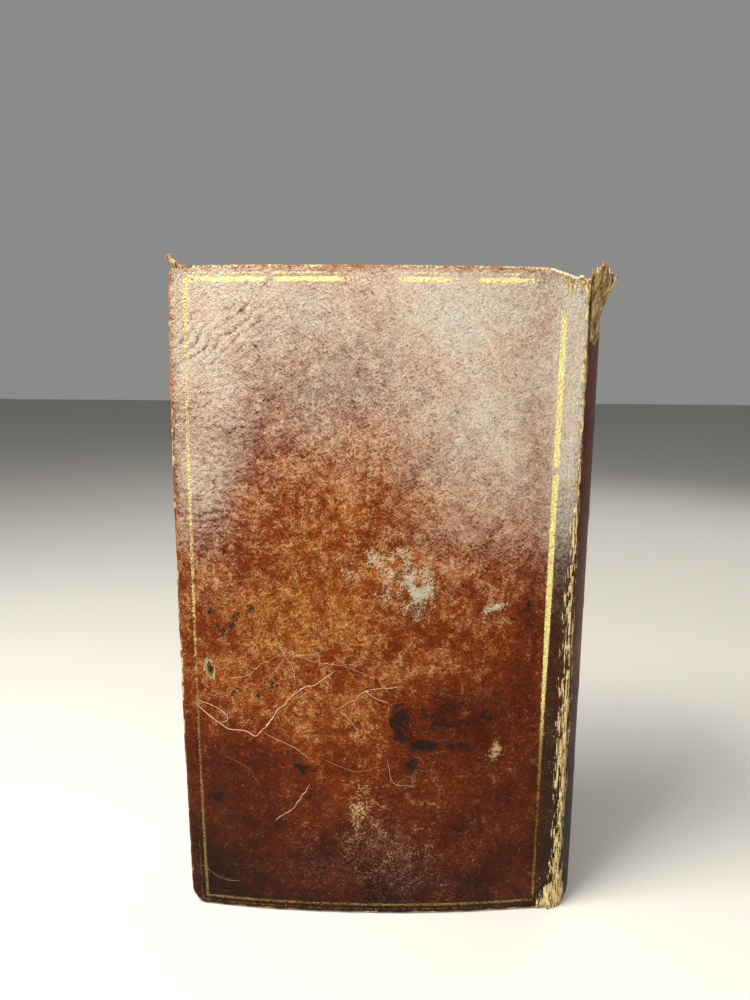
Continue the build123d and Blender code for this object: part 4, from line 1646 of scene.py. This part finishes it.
@dataclass(frozen=True)
class Spine:
    """The calf over the back, its torn head, and the endbands that it half hides."""

    book: Book
    calf: bpy.types.Material
    torn: bpy.types.Material
    silk: bpy.types.Material
    cord: bpy.types.Material
    torn_at: float = 160.0
    thread: float = 0.42

    def build(self) -> None:
        """Makes the spine's pieces; they all ride on the spine."""
        self.build_calf()
        self.build_torn_head()
        for end in ("tail", "head"):
            self.build_endband(end)

    def torn_line(self, along: np.ndarray) -> np.ndarray:
        """Height at which the grain side breaks off: two long tongues and small teeth.

        Args:
            along: arc length from the back joint, mm.

        Returns:
            A sine for the tongues and noise for the teeth, about the torn height, mm.
        """
        arc = self.book.spine_arc
        tongues = 2.6 * np.sin(along / arc * math.pi * 3.0 + 0.6) * (1 - along / arc)
        teeth = 1.6 * noise(along, along * 0.0, 1.9, 71, octaves=3)
        return self.torn_at - tongues + teeth + 3.0 * smooth_step(12.0, 26.0, along)

    def build_calf(self) -> None:
        """The grain side of the spine, from the tail to its torn edge.

        The two covers' marks meet in its middle, and the sewing cords show as faint swellings,
        each a bell curve.
        """
        book = self.book
        marks = {side: CalfMarks(side, book) for side in Side}
        along = np.linspace(0.0, book.spine_arc, 76)
        share = np.linspace(0.0, 1.0, 330)
        top = self.torn_line(along)
        up = 0.1 + (top[:, None] - 0.1) * share[None, :]
        along = np.broadcast_to(along[:, None], up.shape)
        from_front = book.spine_arc - along
        half = smooth_step(book.spine_arc * 0.45, book.spine_arc * 0.55, along)
        past_joint = book.length + 0.15
        back_values = marks[Side.BACK].read(past_joint + along, up)
        front_values = marks[Side.FRONT].read(past_joint + from_front, up)
        values = {
            key: value * (1 - half) + front_values[key] * half
            for key, value in back_values.items()
        }
        relief = marks[Side.BACK].relief(past_joint + along, up)
        near_joint = smooth_step(2.0, 0.4, np.minimum(along, from_front))
        relief = relief * (1.0 - 0.5 * half) - 0.04 * near_joint
        band_marks = sum(np.exp(-(((up - h) / 1.8) ** 2)) for h in book.cord_heights)
        relief = relief + 0.10 * band_marks * (1.0 - near_joint)
        worn = smooth_step(0.3, 0.75, noise(along, up, 5.0, 33, octaves=4) + 0.35 * band_marks)
        values["rub"] = np.maximum(values["rub"], 0.25 * worn)
        edge = smooth_step(1.2, 0.0, top[:, None] - up)
        values["raw"] = np.maximum(values["raw"], edge)
        tail = 0.4 * smooth_step(1.2, 0.0, up) ** 2
        front = book.on_spine(Side.BACK, along, up, tail - relief)
        thickness = book.spine_leather * (1.0 - 0.75 * smooth_step(5.0, 0.0, top[:, None] - up))
        back = book.on_spine(Side.BACK, along, up, tail + thickness)
        back[..., 0] = np.maximum(back[..., 0], book.joint + 0.02)
        points, faces = shell(front, back)
        both = {key: np.concatenate([v.ravel()] * 2) for key, v in values.items()}
        piece = add_piece("spine_calf", points, [faces], self.calf, both)
        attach(piece, "spine")
        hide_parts("spine_leather")

    def build_torn_head(self) -> None:
        """Split straps of flesh side, from under the torn grain up to a frayed head.

        The straps by the back joint are listed one by one; the rest follow one another at random.
        """
        book = self.book
        rng = np.random.default_rng(5)
        straps = [
            (0.7, 5.4, 160.0, 174.0, 0.9, -0.3),
            (3.4, 6.0, 157.5, 175.4, 1.7, -0.4),
            (6.2, 5.6, 156.0, 174.9, 2.1, 0.0),
            (9.0, 5.0, 156.0, 174.2, 2.5, 0.3),
            (11.8, 4.4, 155.0, 173.2, 2.6, 0.5),
            (4.6, 2.4, 163.0, 176.6, 1.9, -0.1),
            (9.6, 2.0, 160.0, 173.6, 3.6, 0.5),
        ]
        place = 13.0
        while place < book.spine_arc + 0.2:
            width = rng.uniform(1.8, 3.8)
            foot = self.torn_line(np.array([place]))[0] - rng.uniform(4.0, 8.0)
            tip = book.height - rng.uniform(0.6, 5.0)
            straps.append((place, width, foot, tip, rng.uniform(0.3, 1.4), rng.uniform(-0.8, 0.8)))
            if rng.random() < 0.5:
                thin = rng.uniform(0.4, 0.9)
                straps.append((place + width / 2, thin, foot + 6, tip + 0.6, 1.4, 0.5))
            place += width * rng.uniform(0.72, 1.0)
        points, faces = join([self.strap(*strap, rng) for strap in straps])
        points[:, 2] = np.minimum(points[:, 2], book.torn_tip)
        piece = add_piece("torn_headcap", points, [faces], self.torn)
        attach(piece, "spine")

    def strap(
        self,
        place: float,
        width: float,
        foot: float,
        tip: float,
        flare: float,
        drift: float,
        rng: np.random.Generator,
    ) -> tuple[np.ndarray, np.ndarray]:
        """One torn strap: a strip that narrows and wavers, and leans out at its ragged tip.

        Args:
            place: arc length of its middle from the back joint, mm.
            width: mm at its foot.
            foot: height of its lower end, mm.
            tip: height of its upper end, mm.
            flare: how far the tip leans out from the spine, mm.
            drift: how far the tip leans sideways, away from the back joint, mm.
            rng: the head's own source of random numbers.

        Returns:
            Its points and quads.
        """
        rise, turn = np.linspace(0, 1, 60), np.linspace(-0.5, 0.5, 15)
        seed = int(rng.integers(1000))
        t, w = np.meshgrid(rise, turn, indexing="ij")
        up = foot + (tip - foot) * t
        narrowing = np.sin(np.clip(t * 2.2 + 0.35, 0, math.pi / 2)) * (1.0 - 0.25 * t**4)
        along = place + w * width * narrowing + drift * t**2
        along = along + 0.6 * noise(up, w * 0, 6.0, seed, octaves=3) * t
        along = along + 0.3 * noise(up, w * 9, 1.4, seed + 1, octaves=3)
        ragged = 1.5 * noise(w * width, up * 0, 0.7, seed + 2, octaves=3) * smooth_step(0.75, 1, t)
        inner = min(place, self.book.spine_arc - place)
        lean = -flare * (0.3 + 0.7 * min(1.0, inner / 6.0)) * smooth_step(0.35, 1.0, t) ** 1.5
        lean = lean + 0.32 * noise(up, w * width * 2, 2.4, seed + 3, octaves=4) * (0.3 + t)
        cupped = 0.45 * (1 - (2 * w) ** 2) * (0.3 + 0.7 * t)
        depth = 0.3 + lean - cupped + 0.4 * (1.0 - t) - 0.2 * smooth_step(3.0, 0.5, along)
        book = self.book
        front = book.on_spine(Side.BACK, along, up + ragged, depth)
        back = book.on_spine(Side.BACK, along, up + ragged, depth + 0.5 * (1 - 0.5 * t))
        for face in (front, back):
            face[..., 0] = np.maximum(face[..., 0], book.joint + 0.03)
        return shell(front, back)

    def build_endband(self, end: str) -> None:
        """Silk worked over a cord: a tube round the back whose threads stand out as ribs.

        The ribs are the absolute sine of the turn, which grows along the band and once round
        the tube, so that each thread is a screw line. The cord's cut ends show beyond the silk.

        Args:
            end: tail or head.
        """
        book, node = self.book, f"{end}_endband_silk"
        low, high = node_box(node)
        height, radius = (low[2] + high[2]) / 2, (high[2] - low[2]) / 2
        arc = book.fold_radius - 0.5
        half = math.asin((high[1] - 5.0) / arc)
        for reach, size, worked in ((half, radius, True), (half + 0.012, radius * 0.55, False)):
            along = np.linspace(-reach, reach, 420 if worked else 60)
            count = 16 if worked else 10
            outward = np.stack([np.cos(along), np.sin(along), along * 0], axis=-1)
            upward = np.zeros(outward.shape) + np.array([0.0, 0.0, 1.0])
            path = outward * arc + np.array([book.back_centre, 0.0, height])
            around = np.arange(count) / count
            turn = along[:, None] * arc / self.thread + around[None, :]
            swell = size * (0.86 + 0.14 * np.abs(np.sin(math.pi * turn)) * worked)
            ends = np.sqrt(np.clip(1 - (np.abs(along) / reach) ** 40, 0.15, 1))
            points, quads, caps = tube(path, outward, upward, swell * ends[:, None])
            if worked:
                marks = {"turn": turn.ravel() + 100.0}
                piece = add_piece(f"{end}_worked_silk", points, [quads, caps], self.silk, marks)
                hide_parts(node)
            else:
                piece = add_piece(f"{end}_band_cord", points, [quads, caps], self.cord)
                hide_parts(f"{end}_endband_core")
            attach(piece, "spine")


# -------------------------------------------------------------------------------- leaves


@dataclass(frozen=True)
class TextBlock:
    """The sewn sections and the loose leaves, each on the body that it turns with.

    A section is pitch thick with gap clear on both sides, and draws in over its last taper to
    a fold of half thickness nose.
    """

    book: Book
    page: bpy.types.Material
    endpaper: bpy.types.Material
    leaves: int = 10
    per_side: int = 7
    pitch: float = 1.65
    gap: float = 0.08
    nose: float = 0.4
    taper: float = 9.5
    bow: float = 2.2

    def build(self) -> None:
        """Makes every section, flyleaf and free endpaper."""
        for number in range(1, 2 * self.per_side + 1):
            self.build_section(number)
        for side in Side:
            self.build_leaf(side, "flyleaf", 2.7)
            self.build_leaf(side, "free_endpaper", 3.3)

    def build_section(self, number: int) -> None:
        """One section: leaves that lie apart at the fore edge and meet at the fold.

        A leaf's line is a shallow parabola as far as the shoulder, and from there it runs
        straight to its place in the pinched fold.

        Args:
            number: from 1 at the front board to the last at the back board.
        """
        book, node = self.book, f"section_{number:02d}"
        low, high = node_box(node)
        side = Side.FRONT if number <= self.per_side else Side.BACK
        place = self.per_side - number if side is Side.FRONT else number - self.per_side - 1
        fold, fore = high[0] - self.nose, low[0]
        pitch = self.pitch
        bottom, top = place * pitch + self.gap, (place + 1) * pitch - self.gap
        middle = (bottom + top) / 2
        rng = np.random.default_rng(100 + number)
        run = np.concatenate([np.linspace(0, 0.88, 17), np.linspace(0.9, 1, 9)])
        solids = []
        for leaf in range(self.leaves):
            share = (leaf + 0.5) / self.leaves
            start = fore + rng.uniform(-0.05, 0.35)
            x = start + (fold - start) * run
            flat = bottom + (top - bottom) * share
            t = (x - fore) / (fold - fore)
            level = flat + 4 * self.bow * (flat / (self.per_side * pitch)) * t * (1 - t)
            pinched = middle + (share - 0.5) * 2 * self.nose * 0.9
            toward = np.clip((x - (fold - self.taper)) / self.taper, 0.0, 1.0)
            level = level * (1 - toward) + pinched * toward
            spacing = (top - bottom) * (1 - toward) + 1.8 * self.nose * toward
            thick = 0.36 * spacing / self.leaves
            ends = rng.uniform(0.0, 0.28, 2)
            rise = np.linspace(low[2] + ends[0], high[2] - ends[1], 9)
            grid_x, up = np.meshgrid(x, rise, indexing="ij")
            ripple = 0.25 * noise(up, up * 0, 40.0, 300 + number, octaves=2)
            grid_x = grid_x - np.minimum(ripple, 0) * (1 - run[:, None]) ** 2
            sheets = []
            for way in (-1.0, 1.0):
                y = np.broadcast_to((level + way * thick)[:, None], up.shape)
                sheets.append(np.stack([grid_x, side.value * y, up], axis=-1))
            solids.append(shell(*sheets))
        points, faces = join(solids)
        piece = add_piece(f"gathering_{number:02d}", points, [faces], self.page)
        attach(piece, node)
        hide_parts(node)

    def build_leaf(self, side: Side, kind: str, bow: float) -> None:
        """A flyleaf or free endpaper: one thin sheet with soft waves and a worn fore edge.

        Args:
            side: the board that it lies against.
            kind: flyleaf or free_endpaper.
            bow: how far it bulges, mm.
        """
        node = f"{side.word}_{kind}"
        low, high = node_box(node)
        thick = self.book.leaf
        near = min(abs(low[1]), abs(high[1])) + thick / 2
        seed = WEAR[side].seed + 40 + len(kind)
        x, up = np.meshgrid(
            np.linspace(low[0], high[0], 70), np.linspace(low[2], high[2], 110), indexing="ij"
        )
        t = (x - low[0]) / (high[0] - low[0])
        nibbled = np.maximum(noise(up, up * 0, 5.0, seed, octaves=4), 0.0)
        x = x + 0.9 * nibbled * (1 - t) ** 8
        level = near + 4 * bow * t * (1 - t)
        level = level + 0.05 * noise(x, up, 22.0, seed + 1, octaves=2) * (1 - t) * t * 4
        faces_of = [
            np.stack([x, side.value * (level + way * thick * 0.4), up], axis=-1)
            for way in (-1.0, 1.0)
        ]
        points, faces = shell(*faces_of)
        piece = add_piece(f"{side.word}_{kind}_sheet", points, [faces], self.endpaper)
        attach(piece, node)
        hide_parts(node)


# --------------------------------------------------------------------------------- stage


@dataclass(frozen=True)
class Softbox:
    """A rectangular light, aimed at a point: lengths in mm, power in watts, turn in degrees."""

    name: str
    place: tuple[float, float, float]
    target: tuple[float, float, float]
    width: float
    depth: float
    power: float
    colour: str
    turn: float = 0.0

    def add(self) -> None:
        """Makes the light, facing its target and turned about that line."""
        data = bpy.data.lights.new(self.name, "AREA")
        data.shape, data.size, data.size_y = "RECTANGLE", self.width * MM, self.depth * MM
        data.energy, data.color = self.power, linear(self.colour)[:3]
        light = bpy.data.objects.new(self.name, data)
        start, end = Vector(self.place) * MM, Vector(self.target) * MM
        facing = (end - start).to_track_quat("-Z", "Y").to_matrix().to_4x4()
        spin = Matrix.Rotation(math.radians(self.turn), 4, "Z")
        light.matrix_world = Matrix.Translation(start) @ facing @ spin
        bpy.context.scene.collection.objects.link(light)


SOFTBOXES = (
    Softbox("window", (10, -560, 190), (0, 0, 150), 760, 250, 3.9, "#fffcf6", 7.0),
    Softbox("raking", (-260, -170, 560), (0, -20, 80), 300, 200, 8.5, "#fffaf4"),
    Softbox("behind", (380, 520, 480), (0, 0, 90), 400, 400, 2.0, "#fff8ee"),
)


@dataclass(frozen=True)
class Studio:
    """The camera, three softboxes under a pale sky, and a pale floor.

    The camera stands distance in front of the joints, height above the floor and aside of the
    cover's middle, mm. It looks down and to the left, and is tilted, by so many degrees.
    """

    book: Book
    distance: float = 190.4
    height: float = 151.0
    aside: float = 1.35
    down: float = 10.13
    left: float = 0.42
    tilt: float = 0.46
    lens: float = 27.04
    sensor: float = 36.0
    sky: str = "#dcdcda"
    sky_strength: float = 0.36

    def build(self) -> None:
        """Makes the camera, the lights, the floor and the sky colour."""
        self.add_camera()
        self.add_lights()
        self.add_floor()

    def add_camera(self) -> None:
        """Sets the camera before the back cover, near its head, looking slightly down."""
        book = self.book
        data = bpy.data.cameras.new("camera")
        data.lens, data.sensor_width = self.lens, self.sensor
        data.clip_start = 0.01
        camera = bpy.data.objects.new("camera", data)
        middle = (book.fore + book.joint) / 2
        place = Vector((middle + self.aside, -book.half - self.distance, self.height)) * MM
        turn = (
            Matrix.Rotation(math.radians(self.left), 4, "Z")
            @ Matrix.Rotation(math.radians(90 - self.down), 4, "X")
            @ Matrix.Rotation(math.radians(self.tilt), 4, "Z")
        )
        camera.matrix_world = Matrix.Translation(place) @ turn
        bpy.context.scene.collection.objects.link(camera)
        bpy.context.scene.camera = camera

    def add_lights(self) -> None:
        """A wide softbox behind the camera, one raking from the left, one behind, and a pale sky.

        The cover stands upright, so it mirrors what is level with it. The wide softbox gives
        the calf its shine at the head, together with the pale sheen painted into its colour there,
        and ends high enough to leave the tail without one. The raking one brings out the grain and
        the creases, and the one behind lights the torn head.
        """
        for softbox in SOFTBOXES:
            softbox.add()
        world = bpy.data.worlds.new("studio")
        world.use_nodes = True
        background = world.node_tree.nodes["Background"]
        background.inputs["Color"].default_value = linear(self.sky)
        background.inputs["Strength"].default_value = self.sky_strength
        bpy.context.scene.world = world
        bpy.context.scene.view_settings.view_transform = "Standard"

    def add_floor(self) -> None:
        """A large sheet of pale matt card, with its surface at the book's tail."""
        reach, thickness = 3000.0, 4.0
        corners = reach * np.array([(-1, -1, 0), (1, -1, 0), (1, 1, 0), (-1, 1, 0)], float)
        under = corners - np.array([0.0, 0.0, thickness])
        quads = np.array(
            [(0, 1, 2, 3), (7, 6, 5, 4), (0, 4, 5, 1), (1, 5, 6, 2), (2, 6, 7, 3), (3, 7, 4, 0)]
        )
        points = np.concatenate([corners, under])
        floor = add_piece("studio_floor", points, [quads], PulpCard().make())


# ---------------------------------------------------------------------------------- main


def dress_nodes(finishes: dict[str, bpy.types.Material]) -> None:
    """Gives the CAD nodes that stay in view their finish.

    Args:
        finishes: words in a node's name to its material.
    """
    for name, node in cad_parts.items():
        for part, material in finishes.items():
            if part in name:
                node.data.materials.clear()
                node.data.materials.append(material)


def main() -> None:
    """Builds the book on its floor, cover by cover and leaf by leaf."""
    book = Book.from_frame()
    log.info("book: %.1f wide, %.1f high", book.crown - book.fore, book.height)
    Studio(book).build()
    corners = {"box_low": (book.fore, 0.0), "box_high": (book.crown, book.height)}
    calf, torn = SprinkledCalf().make(), TornCalf().make()
    page = RagPaper("rag_page", sheet="#dccfab", aged="#bfa36e", **corners).make()
    laid = RagPaper("laid_endpaper", sheet="#d6c69d", aged="#ae8f5a", chain=1.0, **corners)
    endpaper = laid.make()
    lining = RagPaper("waste_lining", sheet="#a99872", aged="#7c6847", **corners).make()
    hemp = TwistedCord("hemp_cord", 0.5, "#a5885a", "#5d4628").make()
    linen = TwistedCord("linen_thread", 0.2, "#c9b68c", "#7d6a45").make()
    board = Pasteboard().make()
    for side in Side:
        Cover(book, side, calf, board, endpaper, torn).build()
    Spine(book, calf, torn, WorkedSilk().make(), hemp).build()
    TextBlock(book, page, endpaper).build()
    dress_nodes({
        "sewing_cord": hemp,
        "cord_slips": hemp,
        "kettle_stitch": linen,
        "spine_lining": lining,
    })


if __name__ == "__main__":
    main()
